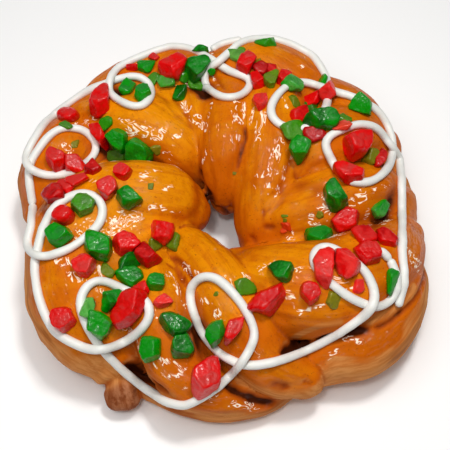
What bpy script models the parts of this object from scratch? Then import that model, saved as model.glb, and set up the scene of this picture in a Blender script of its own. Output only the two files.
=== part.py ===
"""Cinnamon ring bread, a Blender 4.5 model.

A braided ring loaf about 26 cm across, baked on a flat base, with a narrow hole. Fat strands of
dough cross the ring from its rim over the crown and down into the hole, and have baked together
into one crust. A bead of white icing loops round the shoulder of the ring, and diced candied fruit,
red and green, lies on the crust and on the icing. The crust, the icing and the smallest scraps of
fruit are one solid. Each larger die is a solid of its own.

Metres, +Z up. The loaf stands on z = 0, and the origin is below the middle of its box.
"""

import random

import bmesh
import bpy
import numpy as np
from mathutils import Matrix, Vector
from mathutils.bvhtree import BVHTree

# Driving dimensions. Routes and places below are in millimetres, and MM turns them into metres.
MM = 0.001
RING_RADIUS = 0.077  # from the middle of the hole to the middle of the dough
HEEL_HALF_WIDTH = 0.042  # the body of dough under the strands, from its middle to its side
HEEL_HEIGHT = 0.049
HEEL_BELOW = 0.014  # what the flat base takes off the heel's round underside
RING_SHIFT = 0.013  # the hole lies this far behind the middle of the loaf
BEAD_DIAMETER = 0.0062  # the icing, as piped
BEAD_SUNK = 0.0012  # how far the bead has settled into the glaze
TOUCH_GAP = 0.0003  # between a die and what it lies on
CROWN = 0.060  # the level on which the places of the toppings are given
SIGHT = Vector((0.004, -0.282, 0.513))  # toppings lie where lines from here meet the crust
FRUIT_SHARE = Vector((0.90, 0.84, 0.55))  # a die's width, depth and thickness to its listed size

# Fineness of the solid.
VOXEL = 0.0018
CRUST_TRIANGLES = 5000
SOFTEN_ROUNDS = 6
BEAD_STEP = 0.0095
BEAD_SMOOTHINGS = 4
STRAND_SPAN_STEPS = 6
ROUTE_SPAN_STEPS = 8
STRAND_SIDES_RESOLUTION = 5
BEAD_SIDES_RESOLUTION = 1
ROUND_END_ANGLES = (30, 55, 75)  # the rings of a strand's rounded end, in degrees up the half ball
HEEL_RINGS = 96
HEEL_SIDES = 24
WELD = 1e-6
FLOOR_BLOCK = 0.5  # the side of the block that cuts the base flat

# Each strand's route as (x, y, z, radius) in millimetres, from one end to the other.
STRANDS = {
    "left_arm": [
        (-26, 5, 36, 20), (-37, 4, 45, 25), (-53, 3, 47, 28), (-70, -1, 45, 30), (-83, -14, 41, 32),
        (-85, -35, 38, 33), (-81, -59, 36, 33), (-72, -78, 32, 30), (-60, -93, 24, 22),
    ],
    "left_elbow": [(-32, -7, 36, 18), (-48, -18, 40, 24), (-63, -34, 38, 26), (-67, -59, 36, 24)],
    "left_shoulder": [(-110, 9, 28, 18), (-108, 27, 38, 22), (-101, 45, 41, 22), (-92, 63, 37, 18)],
    "back_left_arm": [
        (-93, 76, 34, 18), (-70, 69, 44, 22), (-47, 59, 48, 23), (-27, 47, 46, 18), (-18, 40, 38, 13),
        (-14, 36, 26, 9),
    ],
    "back_left_rim": [
        (-90, 74, 30, 18), (-77, 82, 38, 21), (-55, 96, 42, 23), (-27, 102, 44, 23), (-9, 103, 38, 18),
    ],
    "back_rim": [
        (-10, 105, 38, 20), (11, 106, 44, 23), (34, 107, 45, 24), (56, 96, 42, 22), (70, 85, 34, 18),
    ],
    "back_right_rim": [
        (64, 92, 38, 20), (81, 78, 40, 22), (92, 58, 40, 22), (99, 41, 34, 20), (103, 25, 28, 17),
    ],
    "inner_fold": [(-19, 94, 46, 12), (-15, 66, 52, 12), (-10, 47, 48, 11), (-9, 37, 36, 9)],
    "outer_fold": [(-35, 93, 46, 13), (-27, 70, 50, 12), (-18, 50, 47, 11), (-15, 40, 34, 8)],
    "back_tongue": [
        (9, 93, 46, 16), (6, 63, 54, 17), (5, 40, 53, 17), (5, 26, 44, 15), (5, 20, 34, 13),
        (6, 20, 24, 10),
    ],
    "right_tongue": [
        (42, 92, 44, 20), (35, 64, 52, 21), (32, 36, 52, 20), (29, 14, 46, 18), (26, -3, 36, 16),
        (25, -10, 26, 12),
    ],
    "back_right_arm": [
        (105, 53, 34, 18), (87, 52, 44, 23), (66, 48, 50, 24), (50, 43, 46, 20), (44, 35, 34, 16),
    ],
    "right_arm": [
        (112, 12, 30, 16), (97, 13, 40, 20), (78, 6, 46, 21), (61, 0, 44, 21), (42, -5, 38, 18),
        (30, -11, 28, 12),
    ],
    "right_rim": [(111, -12, 26, 16), (110, 8, 28, 17), (108, 28, 30, 16)],
    "front_right_arm": [
        (16, -39, 30, 18), (27, -50, 38, 26), (44, -57, 44, 30), (65, -58, 45, 31), (87, -47, 42, 29),
        (105, -30, 36, 24), (113, -13, 28, 18),
    ],
    "front_right_rim": [
        (49, -92, 18, 16), (66, -85, 24, 22), (84, -78, 28, 26), (99, -61, 30, 26), (106, -40, 28, 24),
        (111, -18, 24, 18),
    ],
    "front_arm": [
        (-25, -15, 26, 13), (-18, -28, 40, 16), (-6, -45, 48, 18), (5, -64, 50, 20), (15, -81, 44, 20),
        (26, -94, 36, 18), (38, -102, 31, 16), (49, -105, 27, 13),
    ],
    "front_left_arm": [
        (-43, -33, 36, 14), (-36, -56, 44, 18), (-33, -76, 46, 19), (-28, -93, 42, 18),
        (-19, -106, 34, 18), (-5, -111, 26, 15), (10, -112, 20, 13),
    ],
    "front_rim": [
        (-42, -101, 14, 12), (-26, -108, 15, 13), (-10, -112, 15, 14), (6, -113, 15, 14), (24, -110, 13, 13),
        (36, -103, 12, 12),
    ],
    "dough_end": [(-61, -92, 14, 11), (-61, -103, 12, 11), (-61, -109, 11, 9)],
}

# The bead's route, from its start at the right round the front, the left and the back and down the
# right side to its end, as (x, y) in millimetres on the crown level. Each row is one loop.
BEAD_ROUTE = [
    [(98, -38), (102, -44), (104, -65), (92, -76), (70, -65), (57, -46), (63, -36), (73, -39), (90, -59)],
    [(91, -68), (85, -76), (56, -97), (26, -110), (4, -102), (-15, -67), (-13, -58), (1, -57), (16, -75)],
    [(20, -95), (-3, -128), (-18, -133), (-52, -113), (-69, -92), (-78, -65), (-68, -57), (-43, -70)],
    [(-41, -84), (-54, -98), (-84, -96), (-102, -73), (-109, -43), (-98, -8), (-77, -1), (-71, -19)],
    [(-79, -30), (-101, -43), (-114, -36), (-111, -19), (-117, 20), (-108, 44), (-87, 48), (-79, 39)],
    [(-82, 23), (-106, 13), (-122, 23), (-116, 42), (-97, 73), (-62, 94), (-44, 82), (-53, 65), (-71, 77)],
    [(-71, 96), (-46, 117), (-22, 122), (5, 99), (22, 89), (18, 80), (7, 76), (-2, 80), (-9, 97)],
    [(-3, 104), (17, 123), (43, 127), (70, 100), (73, 73), (67, 58), (46, 52), (34, 70), (47, 88), (58, 90)],
    [(90, 76), (103, 67), (111, 30), (100, 12), (79, 12), (67, 38), (94, 54), (114, 30), (113, -3)],
    [(109, -33), (108, -58), (104, -71)],
]

# Diced fruit as (x, y, width, depth) in millimetres, with x and y on the crown level.
RED_DICE = [
    (-78, 77, 11, 24), (-99, 63, 14, 12), (-77, 48, 13, 16), (-103, 29, 11, 13), (-91, 23, 15, 15),
    (-80, 21, 13, 11), (-86, 14, 16, 9), (-60, 18, 13, 12), (-69, 7, 14, 15), (-95, -13, 15, 14),
    (-34, -24, 15, 15), (-55, -32, 19, 15), (-42, -41, 16, 15), (-79, -48, 15, 16), (-51, -73, 26, 22),
    (-32, -70, 15, 9), (-88, -82, 15, 15), (-7, -117, 19, 27), (9, -89, 14, 18), (28, -68, 27, 22),
    (53, -65, 13, 13), (62, -50, 15, 26), (76, -46, 20, 18), (88, -37, 20, 20), (101, -28, 14, 15),
    (78, -16, 18, 16), (89, 42, 20, 20), (81, 18, 20, 14), (104, 26, 11, 14), (43, 95, 11, 15),
    (27, 90, 10, 15), (19, 107, 15, 16), (28, 74, 10, 14), (-31, 105, 18, 16),
]
GREEN_DICE = [
    (-50, 82, 12, 14), (-14, 104, 20, 18), (35, 91, 11, 16), (68, 61, 24, 15), (94, 72, 17, 15),
    (51, 40, 15, 20), (96, 30, 11, 11), (72, 2, 15, 19), (60, -27, 16, 12), (37, -51, 17, 14),
    (-1, -90, 13, 15), (-25, -84, 20, 14), (-20, -98, 15, 15), (-37, -99, 15, 15), (-52, -53, 16, 15),
    (-37, -58, 13, 11), (-61, -69, 14, 13), (-67, -83, 17, 17), (-72, -33, 17, 20), (-97, -26, 19, 15),
    (-83, -5, 15, 15), (-56, 1, 16, 14), (-50, 34, 19, 17), (-65, 43, 15, 14),
]
# Scraps baked into the crust, given in the same way.
SCRAPS = [
    (-94, 7, 11, 9), (62, 47, 12, 9), (50, 61, 11, 10), (62, 74, 12, 8), (72, 82, 12, 10),
    (-58, 102, 9, 7), (-60, 84, 10, 11), (-50, 102, 11, 9), (-35, 91, 10, 10), (-26, 79, 9, 11),
    (13, 112, 10, 9), (32, 123, 11, 9), (48, 84, 11, 10), (15, -62, 12, 10), (67, -71, 10, 9),
    (100, -57, 7, 12), (98, -8, 9, 13), (-75, -76, 8, 11), (-26, -32, 10, 10), (-38, -33, 9, 9),
    (-73, 56, 10, 7), (-65, 28, 11, 7), (-92, 39, 6, 6), (81, -61, 7, 7), (79, 53, 10, 7),
]
SCRAP_THICKNESS = 0.7  # to its smaller side
SCRAP_SUNK = 0.12  # of its thickness, from its middle down
CORNER_DRAWN_IN = (0.78, 1.0)  # a die's corners lie at between these shares of its half sides
CORNERS_CUT = 3
CUT_AT = (0.56, 0.7)  # where a cut passes, in shares of the half sides
CUT_SLOPE = (0.8, 0.8, 0.9)
MOST_TURN = 0.5  # of a die about its own upright, in radians
DROP = 0.032  # how far above the crust a die starts
FIRST_STEP = 0.002
NUDGES = 4
BROAD = 0.010  # how far round its middle a die feels the slope of the crust
NEAREST, FARTHEST, LOOK_STEP = 0.42, 0.64, 0.002  # where a line that misses the crust looks beside it


def clear_scene():
    for obj in list(bpy.data.objects):
        bpy.data.objects.remove(obj, do_unlink=True)


def new_collection(name):
    collection = bpy.data.collections.new(name)
    bpy.context.scene.collection.children.link(collection)
    return collection


def material(name, colour, roughness):
    """A plain non-metallic material. Colour is linear RGB."""
    made = bpy.data.materials.new(name)
    made.use_nodes = True
    shader = made.node_tree.nodes["Principled BSDF"]
    shader.inputs["Base Color"].default_value = (*colour, 1.0)
    shader.inputs["Roughness"].default_value = roughness
    shader.inputs["Metallic"].default_value = 0.0
    return made


def add_object(name, mesh, collection):
    obj = bpy.data.objects.new(name, mesh)
    collection.objects.link(obj)
    return obj


def flowing_line(stations, steps):
    """A smooth line through the stations, with so many steps between neighbours."""
    rows = np.array(stations, float)
    rows = np.vstack([2 * rows[0] - rows[1], rows, 2 * rows[-1] - rows[-2]])
    t = np.linspace(0, 1, steps, endpoint=False)[:, None]
    spans = []
    for a, b, c, d in zip(rows, rows[1:], rows[2:], rows[3:]):
        squared = (2 * a - 5 * b + 4 * c - d) * t**2
        cubed = (3 * b - a - 3 * c + d) * t**3
        spans.append(0.5 * (2 * b + (c - a) * t + squared + cubed))
    return np.vstack([*spans, rows[-2]])


def with_round_ends(line):
    """The line of (x, y, z, radius) with a half ball added at each end."""
    lifts = np.radians(ROUND_END_ANGLES)
    ends = []
    for end, inner in ((line[0], line[1]), (line[-1], line[-2])):
        outward = (end[:3] - inner[:3]) / np.linalg.norm(end[:3] - inner[:3])
        reach = end[3] * np.sin(lifts)[:, None] * outward
        ends.append(np.column_stack([end[:3] + reach, end[3] * np.cos(lifts)]))
    return np.vstack([ends[0][::-1], line, ends[1]])


def tube(name, line, resolution, collection):
    """A closed tube along a line of (x, y, z, radius), as a mesh object."""
    curve = bpy.data.curves.new(name, "CURVE")
    curve.dimensions = "3D"
    curve.bevel_depth = 1.0
    curve.bevel_resolution = resolution
    curve.use_fill_caps = True
    spline = curve.splines.new("POLY")
    spline.points.add(len(line) - 1)
    spline.points.foreach_set("co", np.column_stack([line[:, :3], np.ones(len(line))]).ravel())
    spline.points.foreach_set("radius", line[:, 3])
    guide = add_object(name, curve, collection)
    graph = bpy.context.evaluated_depsgraph_get()
    mesh = bpy.data.meshes.new_from_object(guide.evaluated_get(graph))
    bpy.data.objects.remove(guide)
    shape = bmesh.new()
    shape.from_mesh(mesh)
    bmesh.ops.remove_doubles(shape, verts=shape.verts, dist=WELD)
    bmesh.ops.recalc_face_normals(shape, faces=shape.faces)
    shape.to_mesh(mesh)
    shape.free()
    return add_object(name, mesh, collection)


def heel(collection):
    """The body of dough under the strands: a ring of oval section, sunk below the base."""
    bpy.ops.mesh.primitive_torus_add(
        major_segments=HEEL_RINGS,
        minor_segments=HEEL_SIDES,
        major_radius=RING_RADIUS,
        minor_radius=HEEL_HALF_WIDTH,
    )
    ring = bpy.context.object
    half_height = (HEEL_HEIGHT + HEEL_BELOW) / 2
    ring.data.transform(
        Matrix.Translation((0, RING_SHIFT, half_height - HEEL_BELOW))
        @ Matrix.Diagonal((1, 1, half_height / HEEL_HALF_WIDTH, 1))
    )
    for home in list(ring.users_collection):
        home.objects.unlink(ring)
    collection.objects.link(ring)
    return ring


def applied(obj):
    """Replaces the object's mesh by the one its modifiers make, and removes them."""
    graph = bpy.context.evaluated_depsgraph_get()
    mesh = bpy.data.meshes.new_from_object(obj.evaluated_get(graph))
    obj.modifiers.clear()
    obj.data = mesh
    return obj


def keep_outer_shell(mesh):
    """Drops loose scraps and fills sealed hollows: of the mesh's shells only the largest stays."""
    shape = bmesh.new()
    shape.from_mesh(mesh)
    unseen = set(shape.faces)
    shells = []
    while unseen:
        shell = set()
        edge = [unseen.pop()]
        while edge:
            face = edge.pop()
            shell.add(face)
            near = {other for side in face.edges for other in side.link_faces} & unseen
            unseen -= near
            edge.extend(near)
        shells.append(shell)
    largest = max(shells, key=len)
    others = [face for shell in shells if shell is not largest for face in shell]
    bmesh.ops.delete(shape, geom=others, context="FACES")
    shape.to_mesh(mesh)
    shape.free()


def crust(collection, helpers):
    """The strands and the heel baked into one body, cut flat at the base."""
    pieces = [heel(helpers)]
    for name, stations in STRANDS.items():
        line = with_round_ends(flowing_line(stations, STRAND_SPAN_STEPS)) * MM
        pieces.append(tube(name, line, STRAND_SIDES_RESOLUTION, helpers))
    shape = bmesh.new()
    for piece in pieces:
        shape.from_mesh(piece.data)
        bpy.data.objects.remove(piece)
    mesh = bpy.data.meshes.new("bread_ring")
    shape.to_mesh(mesh)
    shape.free()
    body = add_object("bread_ring", mesh, collection)
    blend = body.modifiers.new("blend", "REMESH")
    blend.mode = "VOXEL"
    blend.voxel_size = VOXEL
    soften = body.modifiers.new("soften", "SMOOTH")
    soften.factor = 0.5
    soften.iterations = SOFTEN_ROUNDS
    applied(body)
    keep_outer_shell(body.data)
    thin = body.modifiers.new("thin", "DECIMATE")
    thin.ratio = CRUST_TRIANGLES / (2 * len(body.data.polygons))
    thin.use_collapse_triangulate = True
    cut_flat(body, helpers)
    return body


def cut_flat(body, helpers):
    """Takes off everything below z = 0."""
    bpy.ops.mesh.primitive_cube_add(size=FLOOR_BLOCK)
    floor = bpy.context.object
    floor.data.transform(Matrix.Translation((0, 0, -FLOOR_BLOCK / 2)))
    for home in list(floor.users_collection):
        home.objects.unlink(floor)
    helpers.objects.link(floor)
    cut = body.modifiers.new("flat base", "BOOLEAN")
    cut.operation = "DIFFERENCE"
    cut.object = floor
    applied(body)
    bpy.data.objects.remove(floor)


def surface(obj):
    """A search tree over the object's faces, for finding where toppings rest."""
    mesh = obj.data
    return BVHTree.FromPolygons([v.co for v in mesh.vertices], [p.vertices for p in mesh.polygons])


def sight_line(x, y):
    """The direction from SIGHT to (x, y), in millimetres, on the crown level."""
    return (Vector((x * MM, y * MM, CROWN)) - SIGHT).normalized()


def rest_on(tree, x, y):
    """Where the line of sight through (x, y) on the crown level meets the crust, and its normal.

    A line that just misses the rim gives the crust's nearest point to it.
    """
    toward = sight_line(x, y)
    point, normal, _, _ = tree.ray_cast(SIGHT, toward)
    if point is None:
        hits = [tree.find_nearest(SIGHT + toward * far) for far in np.arange(NEAREST, FARTHEST, LOOK_STEP)]
        point, normal, _, _ = min(hits, key=lambda hit: hit[3])
    return point, normal


def broad_normal(tree, point, radius):
    """The crust's mean direction round a point, which small folds don't turn."""
    total = Vector()
    for _, normal, _, distance in tree.find_nearest_range(point, radius):
        total += normal * max(0.0, radius - distance)
    return total.normalized()


def bead(tree, helpers):
    """The icing bead: a tube along its looping route, laid on the crust and bridging tight folds."""
    route = flowing_line([place for loop in BEAD_ROUTE for place in loop], ROUTE_SPAN_STEPS)
    stride = np.linalg.norm(np.diff(route, axis=0), axis=1)
    along = np.concatenate([[0], np.cumsum(stride)])
    count = round(along[-1] * MM / BEAD_STEP)
    even = np.linspace(0, along[-1], count)
    even_x, even_y = (np.interp(even, along, route[:, axis]) for axis in (0, 1))
    places = [rest_on(tree, x, y) for x, y in zip(even_x, even_y)]
    lift = BEAD_DIAMETER / 2 - BEAD_SUNK
    line = np.array([point + normal * lift for point, normal in places])
    for _ in range(BEAD_SMOOTHINGS):
        line[1:-1] += 0.25 * (line[:-2] - 2 * line[1:-1] + line[2:])
        for i, place in enumerate(line):
            point, normal, _, _ = tree.find_nearest(Vector(place))
            short = lift - (Vector(place) - point).dot(normal)
            if short > 0:
                line[i] += np.array(normal) * short
    radii = np.full(count, BEAD_DIAMETER / 2)
    return tube("icing_bead", np.column_stack([line, radii]), BEAD_SIDES_RESOLUTION, helpers)


def die_shape(frame, sides, draw):
    """A die of candied fruit: a box with its corners drawn off true and some cut away."""
    shape = bmesh.new()
    bmesh.ops.create_cube(shape, size=1.0)
    for corner in shape.verts:
        corner.co = Vector(c * draw.uniform(*CORNER_DRAWN_IN) * side for c, side in zip(corner.co, sides))
    for _ in range(CORNERS_CUT):
        way = Vector((draw.choice((-1, 1)), draw.choice((-1, 1)), draw.choice((-1, 1, 1))))
        outward = Vector(w * slope for w, slope in zip(way, CUT_SLOPE))
        edge = Vector(w * side / 2 * draw.uniform(*CUT_AT) for w, side in zip(way, sides))
        trim(shape, edge, outward)
    shape.transform(frame)
    return shape


def trim(shape, point, outward):
    """Cuts a convex solid off at a plane and closes it."""
    geometry = list(shape.verts) + list(shape.edges) + list(shape.faces)
    bmesh.ops.bisect_plane(shape, geom=geometry, plane_co=point, plane_no=outward, clear_outer=True)
    bmesh.ops.delete(shape, geom=list(shape.faces), context="FACES_ONLY")
    bmesh.ops.delete(shape, geom=list(shape.edges), context="EDGES_FACES")
    hull = bmesh.ops.convex_hull(shape, input=list(shape.verts))
    loose = {item for item in hull["geom_interior"] if isinstance(item, bmesh.types.BMVert)}
    bmesh.ops.delete(shape, geom=list(loose), context="VERTS")
    bmesh.ops.recalc_face_normals(shape, faces=list(shape.faces))
    if shape.calc_volume(signed=True) < 0:
        bmesh.ops.reverse_faces(shape, faces=list(shape.faces))


def tangent_frame(point, normal, turn):
    """Axes with Z along the normal and X near the world's, turned about the normal."""
    across = Vector((1, 0, 0))
    across = (across - normal * across.dot(normal)).normalized()
    axes = Matrix((across, normal.cross(across), normal)).transposed().to_4x4()
    return Matrix.Translation(point) @ axes @ Matrix.Rotation(turn, 4, "Z")


def lay_die(crust_tree, top_tree, x, y, sides, seed):
    """A die lowered onto the loaf with its middle on the line of sight through (x, y).

    It lies along the broad slope of the crust, and rests on whatever is highest under it.
    """
    toward = sight_line(x, y)
    point, _ = rest_on(crust_tree, x, y)
    normal = broad_normal(crust_tree, point, BROAD)
    draw = random.Random(seed)
    frame = tangent_frame(point, normal, draw.uniform(-MOST_TURN, MOST_TURN))
    shape = die_shape(frame, sides, draw)
    settle(shape, [top_tree], DROP)
    for _ in range(NUDGES):
        offset = SIGHT - middle(shape)
        aside = offset - toward * offset.dot(toward)
        bmesh.ops.translate(shape, verts=shape.verts, vec=aside)
        settle(shape, [top_tree], DROP)
    return shape


def settle(shape, obstacles, start):
    """Lowers a die, from so far above, until it would touch, and leaves the gap."""
    move(shape, start)
    step = FIRST_STEP
    while step > TOUCH_GAP / 4:
        move(shape, -step)
        here = BVHTree.FromBMesh(shape)
        if any(here.overlap(tree) for tree in obstacles):
            move(shape, step)
            step /= 4
    move(shape, TOUCH_GAP)


def move(shape, up):
    bmesh.ops.translate(shape, verts=shape.verts, vec=(0, 0, up))


def middle(shape):
    return sum((v.co for v in shape.verts), Vector()) / len(shape.verts)


def part_neighbours(dice):
    """Trims dice that run into each other, along planes midway between them."""
    for i, first in enumerate(dice):
        for second in dice[i + 1 :]:
            if not BVHTree.FromBMesh(first).overlap(BVHTree.FromBMesh(second)):
                continue
            a = middle(first)
            b = middle(second)
            way = (b - a).normalized()
            reach_a = max((v.co - a).dot(way) for v in first.verts)
            reach_b = max((b - v.co).dot(way) for v in second.verts)
            meet = a + (b - a) * reach_a / (reach_a + reach_b)
            trim(first, meet - way * TOUCH_GAP / 2, way)
            trim(second, meet + way * TOUCH_GAP / 2, -way)


def scraps(tree, helpers):
    """Small pieces of fruit half sunk in the crust."""
    draw = random.Random(11)
    for number, (x, y, width, depth) in enumerate(SCRAPS):
        point, _ = rest_on(tree, x, y)
        normal = broad_normal(tree, point, BROAD)
        thickness = SCRAP_THICKNESS * min(width, depth) * MM
        turn = draw.uniform(-MOST_TURN, MOST_TURN)
        frame = tangent_frame(point - normal * thickness * SCRAP_SUNK, normal, turn)
        shape = die_shape(frame, (width * MM, depth * MM, thickness), draw)
        mesh = bpy.data.meshes.new(f"scrap_{number:02d}")
        shape.to_mesh(mesh)
        shape.free()
        add_object(mesh.name, mesh, helpers)


def fuse(body, helpers):
    """Joins the icing and the scraps to the crust by one union, and removes them."""
    join = body.modifiers.new("toppings", "BOOLEAN")
    join.operation = "UNION"
    join.operand_type = "COLLECTION"
    join.collection = helpers
    join.solver = "EXACT"
    join.use_self = True
    applied(body)
    for topping in list(helpers.objects):
        bpy.data.objects.remove(topping)
    keep_outer_shell(body.data)


def fruit(crust_tree, top_tree, collection, red, green):
    """The larger dice, each a solid of its own, lying on the crust, the icing or a scrap."""
    names = []
    dice = []
    for colour, places in (("red", RED_DICE), ("green", GREEN_DICE)):
        for number, (x, y, width, depth) in enumerate(places, 1):
            size = Vector((width, depth, min(width, depth))) * MM
            sides = Vector(share * side for share, side in zip(FRUIT_SHARE, size))
            names.append(f"candied_{colour}_{number:02d}")
            dice.append(lay_die(crust_tree, top_tree, x, y, sides, names[-1]))
    part_neighbours(dice)
    for shape in dice:
        others = [BVHTree.FromBMesh(other) for other in dice if other is not shape]
        settle(shape, [top_tree, *others], -TOUCH_GAP)
    for name, shape in zip(names, dice):
        mesh = bpy.data.meshes.new(name)
        shape.to_mesh(mesh)
        shape.free()
        mesh.materials.append(red if "red" in name else green)
        add_object(name, mesh, collection)


def main():
    clear_scene()
    loaf = new_collection("cinnamon_ring_bread")
    helpers = new_collection("toppings_to_fuse")
    helpers.hide_render = True
    body = crust(loaf, helpers)
    tree = surface(body)
    bead(tree, helpers)
    scraps(tree, helpers)
    fuse(body, helpers)
    body.data.materials.clear()
    body.data.materials.append(material("bread_crust", (0.55, 0.21, 0.025), 0.35))
    red = material("candied_red", (0.55, 0.008, 0.008), 0.3)
    green = material("candied_green", (0.01, 0.17, 0.02), 0.3)
    fruit(tree, surface(body), loaf, red, green)


main()
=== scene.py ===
"""Cinnamon ring bread: the baked crust, the piped icing and the candied fruit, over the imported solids.

The crust is a set of fat strands of dough that have baked together. It is made from tubes swept along the
strands, blended into one skin, and then given creases, stretch marks and lumps as whole arrays of numbers.
The icing is a tube that follows its looping route over that skin. Each large die of fruit is cut by flat
facets that give it its outline, and the small scraps are cut by random ones and pressed into the glaze.

Lengths in the tables are millimetres. Everything in the scene is metres, +Z up, standing on z = 0.
"""

import bmesh
import bpy
import numpy as np
from bpy.props import FloatProperty, FloatVectorProperty, IntProperty, PointerProperty
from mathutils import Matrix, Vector
from mathutils.bvhtree import BVHTree


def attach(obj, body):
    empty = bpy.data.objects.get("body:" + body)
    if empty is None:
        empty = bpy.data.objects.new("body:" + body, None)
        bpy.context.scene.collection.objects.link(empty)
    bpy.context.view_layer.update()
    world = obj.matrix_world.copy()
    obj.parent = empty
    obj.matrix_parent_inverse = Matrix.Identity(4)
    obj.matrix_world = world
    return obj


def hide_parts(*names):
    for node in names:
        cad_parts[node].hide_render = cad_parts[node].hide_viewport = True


bl_info = {
    "name": "Cinnamon ring bread",
    "version": (1, 0, 0),
    "blender": (4, 5, 0),
    "location": "3D View > Sidebar > Ring bread",
    "description": "Bakes the crust, pipes the icing and scatters the candied fruit of a braided ring loaf",
    "category": "Object",
}

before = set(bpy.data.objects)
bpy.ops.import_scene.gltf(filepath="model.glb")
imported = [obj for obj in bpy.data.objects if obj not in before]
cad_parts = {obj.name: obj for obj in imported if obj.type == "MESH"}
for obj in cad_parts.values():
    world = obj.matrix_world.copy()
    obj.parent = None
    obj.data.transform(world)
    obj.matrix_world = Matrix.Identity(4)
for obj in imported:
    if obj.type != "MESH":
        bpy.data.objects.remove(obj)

MM = 0.001  # the tables' unit, in metres

# The camera. Creases and toppings lie where lines from it meet the crust.
SIGHT = Vector((0.004, -0.282, 0.513))
AIM = Vector((0.004, -0.007, 0.037))
LENS = 69.39
SENSOR = 36.0
PICTURE_WIDTH = 450.0  # pixels
CROWN = 0.060  # the crown level, on which places are given, in metres

# The heel, which is the dough under the strands: an oval carried round the ring, and cut off by the table.
RING_MIDDLE = np.array([0.0, 13.0, 0.0])
RING_RADIUS = 77.0
HEEL_HALF_WIDTH = 42.0
HEEL_HEIGHT = 49.0
HEEL_BELOW = 14.0  # how far the oval reaches below the table
HEEL_RINGS = 120
HEEL_SIDES = 40

# How the skin is made and shaped.
SPAN_STEPS = 8  # steps between two stations of a route
TUBE_STEP = 3.0
TUBE_SIDES = 32
FINE_ROUNDS = 8  # evening out by this many rounds shows up small hollows
BROAD_ROUNDS = 60  # and by this many, the valleys between strands
VALLEY_FILL = 7.0  # the most that a valley is filled
FILL_WHERE_BLENDED = 0.85  # the share that is filled between strands that have run together
CREASE_HALF_WIDTH = 2.2
TAIL_CREASE = 2.0  # how much deeper the crease round the dough's end is
STRETCH_GRAINS = ((30.0, 3.8, 3.8), (15.0, 2.1, 2.1))  # broad and fine, along, across and above a strand
FOLD_GRAINS = ((48.0, 11.0, 11.0), (26.0, 7.0, 7.0))

# Each strand's route as (x, y, z, radius), from one end to the other.
STRANDS = {
    "left_arm": [
        (-26, 5, 36, 20), (-37, 4, 45, 25), (-53, 3, 47, 28), (-70, -1, 45, 30), (-83, -14, 41, 32),
        (-85, -35, 38, 33), (-81, -59, 36, 33), (-72, -77, 32, 29), (-60, -90, 24, 20),
    ],
    "left_elbow": [(-32, -7, 36, 18), (-48, -18, 40, 24), (-63, -34, 38, 26), (-67, -59, 36, 24)],
    "left_shoulder": [(-110, 9, 28, 18), (-108, 27, 38, 22), (-101, 45, 41, 22), (-92, 63, 37, 18)],
    "back_left_arm": [
        (-93, 76, 34, 18), (-70, 69, 44, 22), (-47, 59, 48, 23), (-27, 47, 46, 18), (-18, 40, 38, 13),
        (-14, 36, 26, 9),
    ],
    "back_left_rim": [
        (-90, 74, 30, 18), (-77, 82, 38, 21), (-55, 96, 42, 23), (-27, 102, 44, 23), (-9, 103, 38, 18),
    ],
    "back_rim": [
        (-10, 105, 38, 20), (11, 106, 44, 23), (34, 107, 45, 24), (56, 96, 42, 22), (70, 85, 34, 18),
    ],
    "back_right_rim": [
        (64, 92, 38, 20), (81, 78, 40, 22), (92, 58, 40, 22), (99, 41, 34, 20), (103, 25, 28, 17),
    ],
    "inner_fold": [(-19, 94, 46, 12), (-15, 66, 52, 12), (-10, 47, 48, 11), (-9, 37, 36, 9)],
    "outer_fold": [(-35, 93, 46, 13), (-27, 70, 50, 12), (-18, 50, 47, 11), (-15, 40, 34, 8)],
    "back_tongue": [
        (9, 93, 46, 16), (6, 63, 54, 17), (5, 40, 53, 17), (5, 26, 44, 15), (5, 20, 34, 13),
        (6, 20, 24, 10),
    ],
    "right_tongue": [
        (42, 92, 44, 20), (35, 64, 52, 21), (32, 36, 52, 20), (29, 14, 46, 18), (26, -3, 36, 16),
        (25, -10, 26, 12),
    ],
    "back_right_arm": [
        (105, 53, 34, 18), (87, 51, 44, 23), (66, 43, 50, 24), (51, 36, 47, 21), (43, 27, 36, 17),
    ],
    "right_arm": [
        (112, 12, 30, 16), (97, 13, 40, 20), (78, 6, 46, 21), (61, 0, 44, 21), (42, -5, 38, 18),
        (30, -11, 28, 12),
    ],
    "right_rim": [(111, -12, 26, 16), (110, 8, 28, 17), (108, 28, 30, 16)],
    "front_right_arm": [
        (16, -39, 30, 18), (27, -50, 38, 26), (44, -57, 44, 30), (65, -58, 45, 31), (87, -47, 42, 29),
        (105, -30, 36, 24), (113, -13, 28, 18),
    ],
    "front_right_rim": [
        (49, -92, 18, 16), (66, -85, 24, 22), (84, -78, 28, 26), (99, -61, 30, 26), (106, -40, 28, 24),
        (111, -18, 24, 18),
    ],
    "front_arm": [
        (-25, -15, 26, 13), (-18, -28, 40, 16), (-6, -45, 48, 18), (5, -64, 50, 20), (15, -81, 44, 20),
        (26, -94, 36, 18), (38, -102, 31, 16), (49, -105, 27, 13),
    ],
    "front_left_arm": [
        (-43, -33, 36, 14), (-36, -56, 44, 18), (-33, -76, 46, 19), (-28, -93, 42, 18),
        (-19, -106, 34, 18), (-5, -111, 26, 15), (10, -112, 20, 13),
    ],
    "front_rim": [
        (-42, -101, 14, 12), (-26, -108, 15, 13), (-10, -112, 15, 14), (6, -113, 15, 14), (24, -110, 13, 13),
        (36, -103, 12, 12),
    ],
    "dough_end": [(-57, -84, 36, 11), (-57, -99, 26, 11.5), (-57, -110, 13, 11)],
}
TAIL = list(STRANDS).index("dough_end")

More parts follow.
